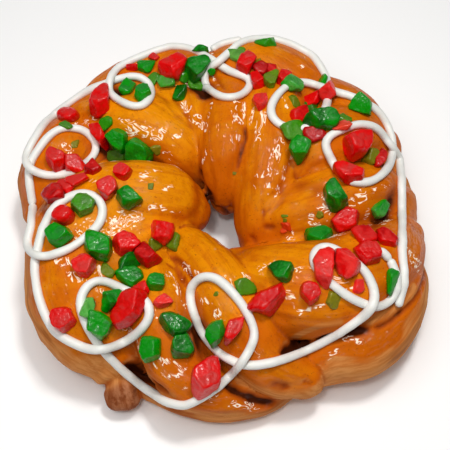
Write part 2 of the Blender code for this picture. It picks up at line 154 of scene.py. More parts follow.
# How golden each strand has stayed in the oven; the rest is a browner amber.
GOLDEN = {
    "left_arm": 1.0, "left_elbow": 0.75, "left_shoulder": 0.35, "back_left_arm": 0.9,
    "back_left_rim": 0.35, "back_rim": 0.3, "back_right_rim": 0.3, "inner_fold": 0.6, "outer_fold": 0.75,
    "back_tongue": 0.3, "right_tongue": 0.5, "back_right_arm": 0.25, "right_arm": 0.45, "right_rim": 0.35,
    "front_right_arm": 0.65, "front_right_rim": 0.05, "front_arm": 0.95, "front_left_arm": 0.75,
    "front_rim": 0.2, "dough_end": 0.0,
}

# Strands on the outside of the ring, whose crust is dry to nearly their tops.
OUTSIDE = (
    "left_arm", "left_shoulder", "back_left_rim", "back_rim", "back_right_rim", "right_rim",
    "front_right_rim", "front_rim", "dough_end",
)
DRY_TOP_OUTSIDE = 62.0  # the height up to which the crust is dry on these
DRY_TOP = 48.0  # and on the others
THROAT = (2.0, -6.0)  # the middle of the hole's narrowest part, as (x, y)
DOME = (38.0, 112.0)  # the golden top of the lobe at the back right

# Strands that have run together, with no crease between them.
BLENDED = [
    ("left_arm", "left_elbow"), ("back_rim", "back_tongue"), ("back_rim", "right_tongue"),
    ("back_rim", "back_right_rim"), ("right_arm", "right_rim"), ("front_left_arm", "front_rim"),
    ("inner_fold", "back_left_rim"), ("outer_fold", "back_left_rim"), ("inner_fold", "back_tongue"),
    ("back_left_arm", "outer_fold"), ("back_tongue", "right_tongue"), ("right_tongue", "right_arm"),
    ("right_arm", "front_right_arm"), ("left_elbow", "front_left_arm"), ("inner_fold", "outer_fold"),
    ("back_left_rim", "back_rim"), ("left_elbow", "front_arm"),
]

# Sharp creases, gaps and dimples besides, as (route on the crown level, half width, depth, darkness).
# The darkness is painted shade; rows with no depth are only painted shade.
CREASES = [
    ([(-12, 21), (-9, 12), (-7, 3), (-4, -4), (2, -9), (10, -15)], 2.2, 3.0, 0.9),
    ([(17, 53), (17, 48), (17, 43), (15, 36), (13, 28), (12, 20)], 1.2, 2.6, 0.6),
    ([(17, 46), (15, 37), (14, 30), (12, 22), (10, 14)], 3.0, 1.6, 0.15),
    ([(113, 11), (111, 6), (106, -3), (101, -12), (94, -21), (88, -27)], 4.6, 3.0, 1.0),
    ([(47, 29), (44, 21), (41, 12)], 1.6, 1.2, 0.0),
    ([(-112, -5), (-107, -10), (-104, -17), (-105, -25)], 3.4, 2.4, 0.5),
    ([(-84, 40), (-77, 36), (-70, 33), (-62, 28), (-54, 26)], 4.5, 2.6, 0.9),
    ([(-73, 80), (-68, 82), (-61, 82)], 4.5, 4.0, 1.9),
    ([(-26, 93), (-19, 91), (-13, 86), (-8, 80), (-4, 75)], 5.0, 4.0, 2.0),
    ([(-16, -78), (-16, -84), (-12, -91), (-10, -98), (-9, -104), (-10, -111)], 5.0, 3.5, 1.0),
    ([(-54, -109), (-49, -112), (-45, -114), (-39, -118), (-33, -123), (-25, -129)], 3.8, 8.0, 1.3),
    ([(-28, -41), (-23, -45), (-18, -52), (-15, -59), (-16, -68)], 1.3, 1.6, 0.5),
    ([(34, -104), (40, -101), (46, -99), (53, -97)], 3.2, 5.0, 1.4),
    ([(53, -97), (61, -94), (69, -92), (78, -90), (88, -88)], 2.4, 3.0, 1.1),
    ([(86, -88), (95, -85), (101, -81), (109, -74), (115, -67), (120, -57), (123, -49)], 1.7, 2.2, 0.6),
    ([(0, -118), (4, -120), (9, -124), (14, -127), (21, -130), (27, -131), (34, -131)], 2.6, 4.0, 1.2),
    ([(29, -119), (32, -121), (36, -123), (39, -125)], 3.4, 3.0, 0.6),
    ([(-37, -129), (-24, -134), (-16, -138), (-3, -141)], 7.0, 0.0, 0.4),
    ([(-110, -12), (-107, -7), (-105, -3), (-101, 2)], 4.2, 2.0, 0.6),
    ([(48, -119), (51, -120)], 1.6, 1.4, 0.5),
    ([(29, -22), (32, -22)], 2.0, 1.8, 0.5),
    ([(20, -29), (22, -31)], 1.6, 1.6, 0.4),
    ([(27, -10), (28, -13)], 1.3, 1.2, 0.4),
    ([(26, -13), (29, -5), (32, 0), (36, 4)], 1.5, 0.9, 0.08),
    ([(32, -21), (32, -15), (34, -10), (38, -5), (43, -1)], 1.6, 0.9, 0.08),
    ([(41, 14), (39, 6), (38, -1)], 2.4, 1.4, 0.15),
    ([(-39, 81), (-33, 71), (-27, 62), (-20, 55), (-15, 47)], 2.8, 1.3, 0.1),
    ([(-31, 81), (-26, 71), (-19, 62), (-13, 50)], 2.6, 1.4, 0.12),
    ([(-3, 109), (2, 102), (9, 95)], 1.8, 1.7, 0.35),
    ([(-5, 98), (1, 88), (6, 81)], 1.8, 1.6, 0.3),
    ([(44, 15), (52, 8), (62, 6), (70, 10)], 5.5, 0.8, 0.4),
    ([(-39, -111), (-34, -116), (-29, -121), (-25, -124)], 2.2, 0.0, 0.35),
    ([(-45, 74), (-37, 68), (-30, 60)], 1.3, 1.0, 0.2),
    ([(26, -20), (28, -13), (33, -7)], 1.2, 0.8, 0.2),
    ([(-31, -45), (-26, -49), (-22, -55), (-19, -60)], 1.2, 0.8, 0.25),
    ([(-26, -23), (-20, -21), (-12, -22), (-6, -28), (-1, -35)], 1.4, 1.0, 0.15),
]

# Where pale curls are painted into the crust's colour as glints of the glaze, as (pixels on the route, half
# width). All pixels are those of a picture 450 pixels wide, taken by the stage's camera.
GLINT_ROUTES = [
    ([(128, 130), (154, 134), (176, 132)], 7), ([(120, 121), (136, 121)], 3),
    ([(183, 104), (197, 117)], 5), ([(193, 118), (206, 128)], 4), ([(212, 103), (208, 117)], 2),
    ([(207, 149), (203, 162)], 2), ([(164, 153), (172, 154), (167, 162)], 2),
    ([(143, 175), (150, 172), (162, 174)], 4), ([(165, 188), (175, 188)], 3),
    ([(106, 232), (122, 219), (138, 211)], 9), ([(138, 211), (164, 207)], 4),
    ([(169, 214), (179, 211)], 2), ([(75, 236), (90, 223)], 6), ([(78, 126), (94, 121)], 5),
    ([(65, 145), (71, 153)], 4), ([(92, 180), (94, 182)], 2), ([(182, 79), (188, 85)], 3),
    ([(212, 54), (218, 58)], 2), ([(211, 76), (219, 85)], 2), ([(232, 104), (236, 114)], 4),
    ([(237, 103), (239, 120), (235, 138)], 6), ([(244, 103), (243, 118)], 2),
    ([(262, 113), (258, 138)], 5), ([(253, 108), (250, 124)], 2), ([(280, 142), (273, 164)], 5),
    ([(292, 158), (286, 168), (283, 179)], 2), ([(257, 175), (270, 173), (280, 168)], 4),
    ([(250, 184), (254, 188)], 2), ([(268, 186), (273, 194)], 4), ([(278, 186), (278, 192)], 2),
    ([(292, 69), (304, 66)], 2), ([(271, 65), (274, 60)], 3), ([(354, 202), (370, 189)], 6),
    ([(378, 187), (390, 187)], 2), ([(323, 190), (318, 196), (323, 201)], 3),
    ([(319, 205), (327, 210)], 4), ([(311, 223), (311, 216)], 3), ([(327, 217), (336, 212)], 4),
    ([(317, 224), (324, 223)], 3), ([(289, 233), (293, 243)], 4), ([(331, 241), (337, 239)], 3),
    ([(368, 211), (366, 217)], 3), ([(378, 226), (391, 218)], 4), ([(282, 98), (287, 107)], 2),
    ([(67, 263), (77, 277)], 6), ([(57, 261), (65, 260)], 3), ([(90, 302), (99, 290)], 4),
    ([(95, 275), (106, 267)], 5), ([(125, 327), (133, 333)], 4), ([(137, 341), (138, 348)], 3),
    ([(160, 364), (171, 373), (183, 382)], 7), ([(170, 361), (184, 366)], 4),
    ([(169, 274), (176, 287), (187, 306)], 4), ([(184, 266), (196, 275)], 4),
    ([(203, 299), (216, 314)], 4), ([(213, 399), (235, 404)], 4), ([(224, 278), (234, 285)], 3),
    ([(240, 273), (248, 278)], 3), ([(260, 270), (271, 263)], 4), ([(288, 294), (298, 312)], 4),
    ([(339, 279), (349, 291)], 5), ([(345, 338), (361, 341)], 3), ([(328, 357), (336, 351)], 3),
    ([(407, 251), (420, 268)], 6), ([(255, 346), (263, 355)], 4), ([(216, 310), (223, 318)], 3),
    ([(236, 404), (256, 409)], 4), ([(308, 309), (322, 307)], 3), ([(294, 269), (309, 269)], 3),
]

# Matte bands where the egg wash missed the crust, given in the same way.
MATTE = [
    ([(284, 346), (300, 334), (320, 326), (340, 322)], 4),
    ([(360, 326), (385, 314), (403, 302), (414, 286)], 4),
    ([(140, 367), (150, 377), (161, 387), (174, 396)], 3),
    ([(240, 378), (256, 388), (272, 395), (290, 394)], 6),
]

# Where the glaze has run down over the side, given in the same way, and how softly it ends.
GLAZE_EDGE = 4.0
GLAZED = [
    ([(412, 212), (419, 232), (423, 252), (421, 274)], 14), ([(25, 172), (24, 192), (28, 210)], 11),
    ([(262, 48), (285, 48), (305, 60), (318, 80)], 12), ([(355, 96), (372, 106), (384, 120)], 8),
    ([(200, 402), (222, 404), (245, 404), (264, 399)], 11),
]

# The bead's route in pixels, from its start at the right round the front, the left and the back and down the
# right side to its end. Each row is one loop.
BEAD_ROUTE = [
    [(382, 252), (387, 256), (392, 263), (397, 279), (397, 289), (393, 298), (387, 304), (378, 307),
     (369, 306), (349, 297), (333, 285), (324, 278), (316, 268), (313, 258), (316, 250), (323, 246),
     (333, 248), (355, 262), (369, 277), (375, 297), (372, 307), (365, 315), (342, 331), (316, 346),
     (288, 358)],
    [(258, 365), (246, 365), (235, 362), (214, 348), (198, 326), (190, 300), (191, 289), (196, 280),
     (205, 276), (214, 277), (223, 283), (241, 303), (252, 323), (255, 334), (252, 345), (240, 365),
     (221, 384), (201, 398), (191, 403), (183, 406), (174, 404), (152, 393)],
    [(130, 377), (110, 358), (97, 343), (85, 322), (81, 311), (80, 301), (83, 291), (90, 283), (99, 280),
     (108, 282), (127, 291), (138, 295), (146, 301), (150, 308), (150, 316), (146, 325), (138, 333),
     (128, 340), (116, 346), (104, 349), (93, 350), (82, 347), (59, 335)],
    [(51, 326), (40, 301), (35, 274), (35, 262), (41, 235), (46, 222), (53, 210), (62, 201), (73, 195),
     (84, 193), (95, 196), (102, 204), (103, 213), (100, 223), (93, 231), (74, 246), (62, 252), (50, 256),
     (39, 257), (31, 253), (27, 247), (28, 238), (31, 228), (33, 217)],
    [(33, 207), (31, 193), (29, 178), (29, 168), (33, 158), (46, 139), (54, 132), (63, 128), (73, 128),
     (83, 130), (91, 136), (96, 144), (96, 152), (91, 159), (85, 165), (75, 171), (65, 174), (52, 176),
     (41, 174), (32, 170), (26, 164), (26, 156)],
    [(31, 145), (46, 122), (63, 108), (82, 94), (92, 89), (104, 84), (125, 77), (137, 76), (147, 81),
     (152, 91), (149, 101), (140, 107), (128, 105), (110, 94), (109, 86), (111, 76), (118, 68), (130, 61),
     (158, 50), (182, 45), (192, 48)],
    [(209, 58), (231, 72), (241, 75), (248, 77), (251, 83), (249, 89), (243, 94), (234, 98), (225, 98),
     (216, 95), (209, 89), (205, 82), (204, 75), (208, 69), (222, 59), (236, 46), (245, 41), (254, 39),
     (278, 39), (298, 46)],
    [(307, 51), (315, 59), (325, 74), (328, 84), (328, 95), (327, 105), (322, 117), (312, 126),
     (300, 129), (287, 128), (277, 123), (271, 115), (271, 106), (275, 98), (281, 91), (290, 84),
     (300, 82), (310, 83), (333, 91), (353, 97), (373, 107)],
    [(381, 115), (387, 124), (391, 135), (393, 146), (392, 157), (389, 166), (383, 174), (375, 180),
     (365, 183), (354, 182), (345, 180), (338, 172), (330, 157), (326, 149), (325, 142), (329, 136),
     (337, 132), (354, 125), (362, 124), (370, 125), (378, 129), (389, 143)],
    [(394, 149), (399, 156), (400, 165), (401, 178), (402, 206), (402, 235), (402, 250), (404, 275),
     (404, 285), (401, 295), (399, 303)],
]
BACK_BEAD = [(214, 48), (220, 43), (228, 39), (238, 38)]  # a short end that lies behind the loops
BEAD_NOTCHES = [(389, 258), (33, 207)]  # where the bead nearly broke as it was piped
BEAD_SPAN_STEPS = 12
BEAD_STEP = 1.1
BEAD_SIDES = 14
BEAD_HEIGHT = 0.94  # as a share of its width
BEAD_SETTLINGS = 6  # how often its line is evened out and then lifted clear of the crust again
CROSSING_LENGTH = 20.0  # what lies less than this far along the bead isn't a crossing of it

# The corners of each large die as it is seen, in pixels.
RED_CORNERS = [
    [(107, 78), (109, 96), (110, 110), (108, 117), (96, 119), (90, 116), (90, 96), (98, 84)],
    [(56, 110), (60, 106), (68, 105), (75, 108), (79, 113), (80, 119), (76, 123), (68, 125), (60, 123),
     (56, 117)],
    [(88, 124), (98, 122), (104, 128), (106, 136), (111, 146), (107, 148), (100, 143), (91, 133)],
    [(50, 146), (54, 147), (65, 153), (65, 163), (57, 171), (48, 165), (46, 159), (47, 150)],
    [(66, 155), (78, 154), (87, 165), (84, 173), (70, 175), (63, 166)],
    [(92, 157), (102, 168), (102, 172), (90, 179), (84, 176), (85, 167)],
    [(66, 177), (84, 172), (89, 178), (78, 185), (68, 188), (62, 182)],
    [(118, 162), (126, 164), (132, 169), (129, 179), (122, 181), (113, 173), (113, 167)],
    [(110, 175), (116, 180), (118, 188), (111, 196), (104, 200), (99, 190), (97, 183), (102, 178)],
    [(51, 212), (54, 207), (60, 204), (67, 205), (72, 209), (75, 215), (74, 222), (66, 226), (56, 222),
     (50, 217)],
    [(153, 219), (163, 221), (173, 222), (174, 230), (172, 238), (164, 243), (152, 237), (150, 228)],
    [(123, 230), (134, 234), (141, 242), (133, 250), (122, 255), (112, 251), (111, 241), (116, 234)],
    [(143, 241), (150, 246), (162, 258), (159, 263), (148, 268), (141, 263), (133, 254), (137, 247)],
    [(79, 253), (87, 254), (94, 259), (96, 267), (86, 278), (80, 277), (73, 266), (71, 260)],
    [(124, 290), (134, 287), (149, 291), (146, 303), (142, 314), (131, 323), (117, 327), (110, 318),
     (110, 309)],
    [(151, 303), (157, 297), (164, 293), (170, 296), (173, 301), (167, 307), (158, 308)],
    [(52, 309), (62, 307), (70, 309), (76, 321), (71, 329), (62, 332), (53, 324), (50, 315)],
    [(192, 365), (203, 360), (212, 354), (218, 357), (222, 370), (221, 382), (215, 389), (199, 399),
     (192, 395), (191, 380)],
    [(226, 320), (236, 318), (244, 317), (242, 327), (235, 336), (224, 346), (221, 343), (225, 331)],
    [(243, 300), (256, 294), (265, 283), (272, 277), (281, 281), (287, 292), (285, 303), (272, 314),
     (258, 311), (246, 307)],
    [(302, 283), (309, 281), (318, 283), (321, 291), (318, 301), (310, 303), (302, 298), (300, 290)],
    [(320, 249), (330, 246), (335, 250), (336, 266), (331, 280), (330, 288), (324, 288), (315, 276),
     (313, 259)],
    [(337, 249), (349, 248), (357, 258), (364, 265), (359, 272), (346, 277), (338, 272), (335, 260)],
    [(354, 248), (364, 241), (377, 241), (381, 249), (381, 261), (369, 266), (360, 262)],
    [(376, 229), (384, 226), (391, 230), (399, 239), (396, 245), (387, 250), (379, 243), (375, 236)],
    [(341, 208), (348, 206), (361, 213), (360, 221), (354, 231), (344, 234), (336, 230), (331, 220)],
    [(346, 131), (357, 130), (366, 125), (372, 127), (373, 141), (366, 152), (354, 159), (343, 154),
     (342, 142)],
    [(335, 161), (345, 160), (355, 165), (365, 169), (363, 178), (353, 185), (344, 182), (334, 171)],
    [(376, 149), (384, 146), (387, 150), (384, 161), (376, 170), (366, 175), (365, 169), (374, 158)],
    [(279, 67), (285, 68), (292, 73), (288, 79), (279, 88), (273, 89), (277, 79)],
    [(250, 72), (257, 70), (262, 76), (266, 88), (261, 93), (255, 92), (252, 83)],
    [(240, 54), (248, 50), (254, 53), (257, 58), (252, 66), (247, 75), (240, 71), (236, 65)],
    [(251, 96), (257, 93), (266, 93), (268, 100), (265, 108), (258, 112), (255, 104)],
    [(167, 57), (177, 51), (184, 54), (187, 59), (184, 67), (178, 78), (174, 78), (161, 74), (158, 67),
     (160, 61)],
]
GREEN_CORNERS = [
    [(142, 83), (148, 84), (152, 94), (147, 100), (141, 104), (135, 97), (137, 87)],
    [(188, 58), (196, 54), (207, 55), (212, 61), (210, 67), (203, 73), (198, 81), (190, 80), (183, 73),
     (183, 66)],
    [(264, 74), (277, 68), (279, 71), (276, 82), (272, 92), (268, 88), (263, 81)],
    [(305, 115), (314, 109), (327, 107), (336, 109), (340, 117), (337, 124), (329, 129), (317, 128),
     (309, 123), (304, 119)],
    [(361, 91), (367, 93), (372, 103), (376, 109), (375, 115), (362, 113), (348, 109), (350, 103),
     (355, 95)],
    [(297, 135), (305, 137), (312, 143), (308, 151), (300, 162), (297, 160), (289, 148), (291, 140)],
    [(369, 148), (376, 149), (382, 155), (374, 163), (367, 168), (361, 166), (361, 156)],
    [(329, 179), (335, 178), (342, 189), (350, 201), (344, 206), (332, 210), (326, 200), (325, 187)],
    [(308, 228), (324, 225), (331, 229), (332, 238), (325, 245), (316, 246), (306, 239), (305, 233)],
    [(268, 266), (274, 260), (291, 261), (295, 268), (292, 279), (286, 283), (276, 277)],
    [(206, 327), (215, 321), (223, 320), (225, 332), (221, 340), (212, 346), (205, 335)],
    [(158, 320), (162, 313), (171, 312), (188, 318), (192, 323), (186, 331), (174, 335), (162, 328)],
    [(175, 335), (187, 333), (193, 341), (194, 350), (189, 355), (174, 359), (170, 351), (171, 342)],
    [(140, 339), (150, 336), (160, 339), (162, 354), (157, 360), (144, 361), (139, 351)],
    [(121, 267), (132, 265), (140, 268), (146, 282), (138, 285), (126, 286), (117, 279), (114, 271)],
    [(147, 276), (154, 272), (163, 274), (165, 283), (162, 290), (151, 291), (145, 286)],
    [(103, 292), (119, 289), (123, 293), (119, 301), (106, 313), (101, 309)],
    [(85, 314), (91, 309), (104, 313), (113, 320), (108, 331), (100, 338), (90, 330), (83, 321)],
    [(87, 229), (98, 231), (109, 237), (111, 250), (107, 260), (99, 261), (83, 248), (84, 236)],
    [(44, 230), (53, 221), (67, 228), (73, 235), (65, 243), (57, 248), (49, 240)],
    [(71, 200), (77, 193), (86, 193), (95, 200), (92, 211), (80, 217), (71, 208)],
    [(116, 191), (128, 184), (132, 188), (143, 198), (129, 208), (122, 205), (115, 198)],
    [(130, 139), (136, 137), (154, 150), (151, 159), (144, 164), (130, 165), (124, 158), (126, 147)],
    [(106, 132), (115, 128), (123, 129), (130, 137), (128, 147), (121, 151), (112, 145), (105, 136)],
]

# How dark (-1) or pale (1) each large die is, in the order of its node's number.
RED_TONES = [
    0.0, -0.1, -0.2, 0.0, 0.1, -0.7, 0.0, 0.2, 0.3, 0.0, 0.3, 0.3, -0.7, 0.6, -0.1, 0.9, 0.0, 0.1, 0.2,
    -0.2, 0.0, 0.7, 0.5, -0.2, -0.5, -0.1, 0.1, 0.4, -0.9, -0.3, 0.0, 0.0, 0.6, 0.2,
]
GREEN_TONES = [
    0.2, -0.4, 0.1, -0.5, 0.0, 0.0, 0.0, -0.6, -0.5, -0.6, 0.1, -0.6, -0.6, 0.0, -0.4, 0.0, -0.4, 0.2,
    0.0, 0.0, 0.3, -0.3, -0.4, -0.1,
]
CHERRIES = (("red", 2), ("red", 10))  # rounder than the rest
CHERRY_SHARPNESS = 3.2
EXTRA_CUTS = 5  # knife cuts on each of the others, besides the facets of its outline
RAISED = {("red", 29): 2.0, ("green", 7): 3.0}  # dice that lean on others, and by how much they are higher
OLIVE_DICE = {3: 0.5, 7: 0.8, 21: 0.2}  # green dice that have taken up glaze, and how much
DIE_SPLITS = 18  # how often each side of a die's cube is cut across
SCRAP_SPLITS = 8
DIE_SEEDS = {"red": 0, "green": 60}  # to which a die's number is added
DENT_SEED = 100  # and to this, for the dents in it
SCRAP_SEEDS = {"red": 500, "green": 900}

# Small scraps as (x, y, width, depth, tone, glaze taken up), with x and y on the crown level.
RED_SCRAPS = [
    (-99, -1, 14, 12, -0.7, 0), (87, -29, 15, 12, -0.4, 0), (-94, 7, 11, 10, -0.1, 0),
    (62, 47, 15, 10, -1, 0), (50, 61, 12, 11, -0.2, 0), (62, 74, 15, 9, 0.1, 0), (72, 82, 13, 11, 0.4, 0),
    (-58, 102, 9, 7, -0.2, 0), (81, -61, 6, 9, 0.6, 0), (79, 53, 11, 8, 1, 0.3), (-44, 111, 7, 6, 0.3, 0),
    (-43, -65, 11, 6, 0, 0), (28, 101, 9, 11, -1, 0), (41, -21, 6, 6, 0.2, 0.4), (35, 100, 7, 8, -0.5, 0),
    (39, -24, 4, 4, 0.1, 0.5),
]
GREEN_SCRAPS = [
    (-60, 83, 10, 15, 0.1, 0), (-50, 102, 13, 10, 0, 0), (-35, 91, 11, 11, 0.6, 0.1),
    (-26, 79, 9, 12, -0.7, 0), (13, 112, 11, 10, 0.9, 0.2), (32, 123, 13, 10, 0, 0.1),
    (48, 84, 12, 11, 0.6, 0), (15, -62, 12, 11, -0.1, 0.3), (67, -71, 10, 10, 0, 0.9),
    (100, -57, 7, 14, -0.1, 0), (98, -8, 9, 14, 0.2, 0), (-75, -76, 8, 13, 1, 0),
    (-26, -32, 11, 11, -0.5, 0.5), (-38, -33, 9, 10, -0.5, 0.6), (-73, 56, 11, 8, 0.1, 0.1),
    (-65, 28, 13, 8, -1.2, 0.15), (-92, 39, 5, 7, 0.1, 0.9), (-44, 92, 7, 10, 0.1, 0.2),
    (-16, 86, 11, 8, -0.1, 0.2), (-11, 118, 10, 7, -0.5, 0), (25, 105, 9, 6, 0, 0.9),
    (70, 89, 11, 8, 0.5, 0), (50, 73, 8, 10, -0.4, 0.6), (60, 67, 11, 10, -0.8, 0.1),
    (82, 59, 9, 6, -0.1, 0.3), (46, 47, 16, 12, 0.5, 0.2), (61, -13, 6, 5, -0.3, 0.8),
    (-52, -45, 14, 11, -0.9, 0), (-65, -52, 10, 7, -0.1, 0.6), (-99, 54, 11, 4, 0.2, 0.2),
    (-39, 35, 7, 8, 0, 0.9), (-42, 7, 4, 4, -0.6, 0.6), (-1, -66, 3, 3, -0.5, 0.6),
    (40, -17, 3, 3, -0.4, 0.7), (-24, 94, 7, 8, 0.1, 0.1), (56, 61, 9, 7, -0.6, 0.4),
    (-5, 100, 5, 4, 0.2, 0), (10, 17, 3, 2, -0.8, 0.8), (40, -14, 5, 2, -0.2, 0.6),
    (15, 118, 7, 4, 0.4, 0.3),
]


class LoafSettings(bpy.types.PropertyGroup):
    """Sizes and colours of the crust"""

    skin_step: FloatProperty(
        name="Skin step", description="Spacing of the crust's points", default=0.0016, subtype="DISTANCE"
    )
    soften_rounds: IntProperty(
        name="Softening", description="How often the blended strands are evened out", default=4
    )
    lump_depth: FloatProperty(
        name="Lumps", description="How far strands are out of round", default=0.0011, subtype="DISTANCE"
    )
    stretch_depth: FloatProperty(
        name="Stretch marks", description="Height of the fine marks along the strands", default=0.0002,
        subtype="DISTANCE",
    )
    fold_depth: FloatProperty(
        name="Folds", description="Height of the broad folds along the strands", default=0.0010,
        subtype="DISTANCE",
    )
    crease_depth: FloatProperty(
        name="Creases", description="Depth of the creases between strands", default=0.0009, subtype="DISTANCE"
    )
    run_together: FloatProperty(
        name="Run together", description="Share of the valleys between strands that the dough fills",
        default=0.45,
    )
    # Gold on the crowns and amber on the slopes: partly the crust's own browning, partly painted light from
    # above.
    gold: FloatVectorProperty(
        name="Gold", description="The crust on the crowns of the strands", default=(0.72, 0.24, 0.0005),
        subtype="COLOR",
    )
    amber: FloatVectorProperty(
        name="Amber", description="The crust on the strands' slopes", default=(0.56, 0.115, 0.0005),
        subtype="COLOR",
    )
    # Painted shade: the colour that the deepest creases and hollows are darkened to.
    dark: FloatVectorProperty(
        name="Dark", description="The crust deep in the creases", default=(0.055, 0.009, 0.0015),
        subtype="COLOR",
    )
    wall: FloatVectorProperty(
        name="Wall", description="The dry crust low on the outside", default=(0.56, 0.18, 0.036),
        subtype="COLOR",
    )


class IcingSettings(bpy.types.PropertyGroup):
    """Size and colour of the piped bead"""

    diameter: FloatProperty(
        name="Bead", description="Diameter of the piped bead", default=0.0053, subtype="DISTANCE"
    )
    sunk: FloatProperty(
        name="Sunk", description="How far the bead has settled", default=0.0010, subtype="DISTANCE"
    )
    colour: FloatVectorProperty(
        name="Colour", description="The icing", default=(0.80, 0.795, 0.75), subtype="COLOR"
    )


class FruitSettings(bpy.types.PropertyGroup):
    """Colours and cut of the candied fruit"""

    red: FloatVectorProperty(
        name="Red", description="Red fruit", default=(0.70, 0.0003, 0.0006), subtype="COLOR"
    )
    green: FloatVectorProperty(
        name="Green", description="Green fruit", default=(0.0003, 0.27, 0.001), subtype="COLOR"
    )
    sharpness: FloatProperty(
        name="Sharpness", description="How crisp the cut edges of the dice are", default=28.0
    )


class StageSettings(bpy.types.PropertyGroup):
    """The floor's colour and the strength of the light"""

    floor: FloatVectorProperty(
        name="Floor", description="The plain floor", default=(0.96, 0.96, 0.955), subtype="COLOR"
    )
    key_power: FloatProperty(
        name="Key light", description="Power of the small lamp overhead", default=3.6, subtype="POWER"
    )
    soft_power: FloatProperty(
        name="Soft light", description="Power of the broad lamp overhead", default=6.2, subtype="POWER"
    )
    sky: FloatProperty(
        name="Sky", description="Strength of the light from all round", default=0.06
    )
    front_power: FloatProperty(
        name="Front light", description="Power of the small lamp in front", default=1.4, subtype="POWER"
    )


# Shapes worked out as arrays

NO_TRIANGLES = np.zeros((0, 3), int)
NEARLY_UP = (0.02, 0.1, 1.0)  # a little off upright, because some paths stand on end
PLACE_FACTORS = np.array([374761393, 668265263, 974634777])  # these scatter the noise's values
SEED_FACTOR = 127412617


def flowing_line(stations, steps):
    """A Catmull-Rom curve through the stations: each span is the cubic that leaves and meets its two
    stations parallel to the lines between their neighbours."""
    rows = np.array(stations, float)
    rows = np.vstack([2 * rows[0] - rows[1], rows, 2 * rows[-1] - rows[-2]])
    t = np.linspace(0, 1, steps, endpoint=False)[:, None]
    spans = []
    for a, b, c, d in zip(rows, rows[1:], rows[2:], rows[3:]):
        squared = (2 * a - 5 * b + 4 * c - d) * t**2
        cubed = (3 * b - a - 3 * c + d) * t**3
        spans.append(0.5 * (2 * b + (c - a) * t + squared + cubed))
    return np.vstack([*spans, rows[-2]])


def travelled(line):
    """The length of the path up to each of its points."""
    return np.concatenate([[0], np.cumsum(np.linalg.norm(np.diff(line[:, :3], axis=0), axis=1))])


def evenly(line, step):
    """The path's points again, a step apart."""
    along = travelled(line)
    places = np.linspace(0, along[-1], max(2, round(along[-1] / step)))
    return np.column_stack([np.interp(places, along, column) for column in line.T])


def path_axes(line):
    """Directions along, across and above a path, where above is as near to upright as the path allows."""
    along = np.gradient(line, axis=0)
    along /= np.linalg.norm(along, axis=1, keepdims=True)
    across = np.cross(along, NEARLY_UP)
    across /= np.linalg.norm(across, axis=1, keepdims=True)
    return along, across, np.cross(across, along)


def with_round_ends(line):
    """The line of (x, y, z, radius) with a half ball at each end: out by r sin(a), radius r cos(a)."""
    angles = np.radians([20, 40, 60, 75])
    ends = []
    for end, inner in ((line[0], line[1]), (line[-1], line[-2])):
        outward = (end[:3] - inner[:3]) / np.linalg.norm(end[:3] - inner[:3])
        reach = end[3] * np.sin(angles)[:, None] * outward
        ends.append(np.column_stack([end[:3] + reach, end[3] * np.cos(angles)]))
    return np.vstack([ends[0][::-1], line, ends[1]])


def tube(line, sides, flat=1.0):
    """A circle carried along a path: c(s) + r(s) (cos(a) across + flat sin(a) above), closed by a point at
    each end. Returns points, quads and triangles."""
    _, across, above = path_axes(line[:, :3])
    angle = np.linspace(0, 2 * np.pi, sides, endpoint=False)[:, None]
    ring = np.cos(angle) * across[:, None] + flat * np.sin(angle) * above[:, None]
    points = (line[:, None, :3] + line[:, 3, None, None] * ring).reshape(-1, 3)
    points = np.vstack([points, line[0, :3], line[-1, :3]])
    count = len(line)
    i, k = np.meshgrid(np.arange(count - 1), np.arange(sides), indexing="ij")
    after = (k + 1) % sides
    quads = np.stack([i * sides + k, (i + 1) * sides + k, (i + 1) * sides + after, i * sides + after], -1)
    k = np.arange(sides)
    after = (k + 1) % sides
    first, last = count * sides, count * sides + 1
    start = np.column_stack([np.full(sides, first), k, after])
    end = np.column_stack([np.full(sides, last), (count - 1) * sides + after, (count - 1) * sides + k])
    return points, quads.reshape(-1, 4), np.vstack([start, end])


def heel():
    """The body of dough under the strands, an oval carried round the ring: at the angles a round the ring
    and b round the oval, the distance out is R + w cos(b) and the height is m + h sin(b)."""
    a, b = np.meshgrid(
        np.linspace(0, 2 * np.pi, HEEL_RINGS, endpoint=False),
        np.linspace(0, 2 * np.pi, HEEL_SIDES, endpoint=False),
        indexing="ij",
    )
    half_height = (HEEL_HEIGHT + HEEL_BELOW) / 2
    out = RING_RADIUS + HEEL_HALF_WIDTH * np.cos(b)
    up = half_height - HEEL_BELOW + half_height * np.sin(b)
    points = np.stack([out * np.cos(a), out * np.sin(a), up], -1).reshape(-1, 3) + RING_MIDDLE
    i, k = np.meshgrid(np.arange(HEEL_RINGS), np.arange(HEEL_SIDES), indexing="ij")
    start, start_next = i * HEEL_SIDES, (i + 1) % HEEL_RINGS * HEEL_SIDES
    after = (k + 1) % HEEL_SIDES
    quads = np.stack([start + k, start_next + k, start_next + after, start + after], -1)
    return points, quads.reshape(-1, 4), NO_TRIANGLES


def joined(shapes):
    """Several (points, quads, triangles) as one."""
    starts = np.cumsum([0] + [len(points) for points, _, _ in shapes[:-1]])
    points = np.vstack([points for points, _, _ in shapes])
    quads = np.vstack([quads + start for (_, quads, _), start in zip(shapes, starts)])
    triangles = np.vstack([triangles + start for (_, _, triangles), start in zip(shapes, starts)])
    return points, quads, triangles


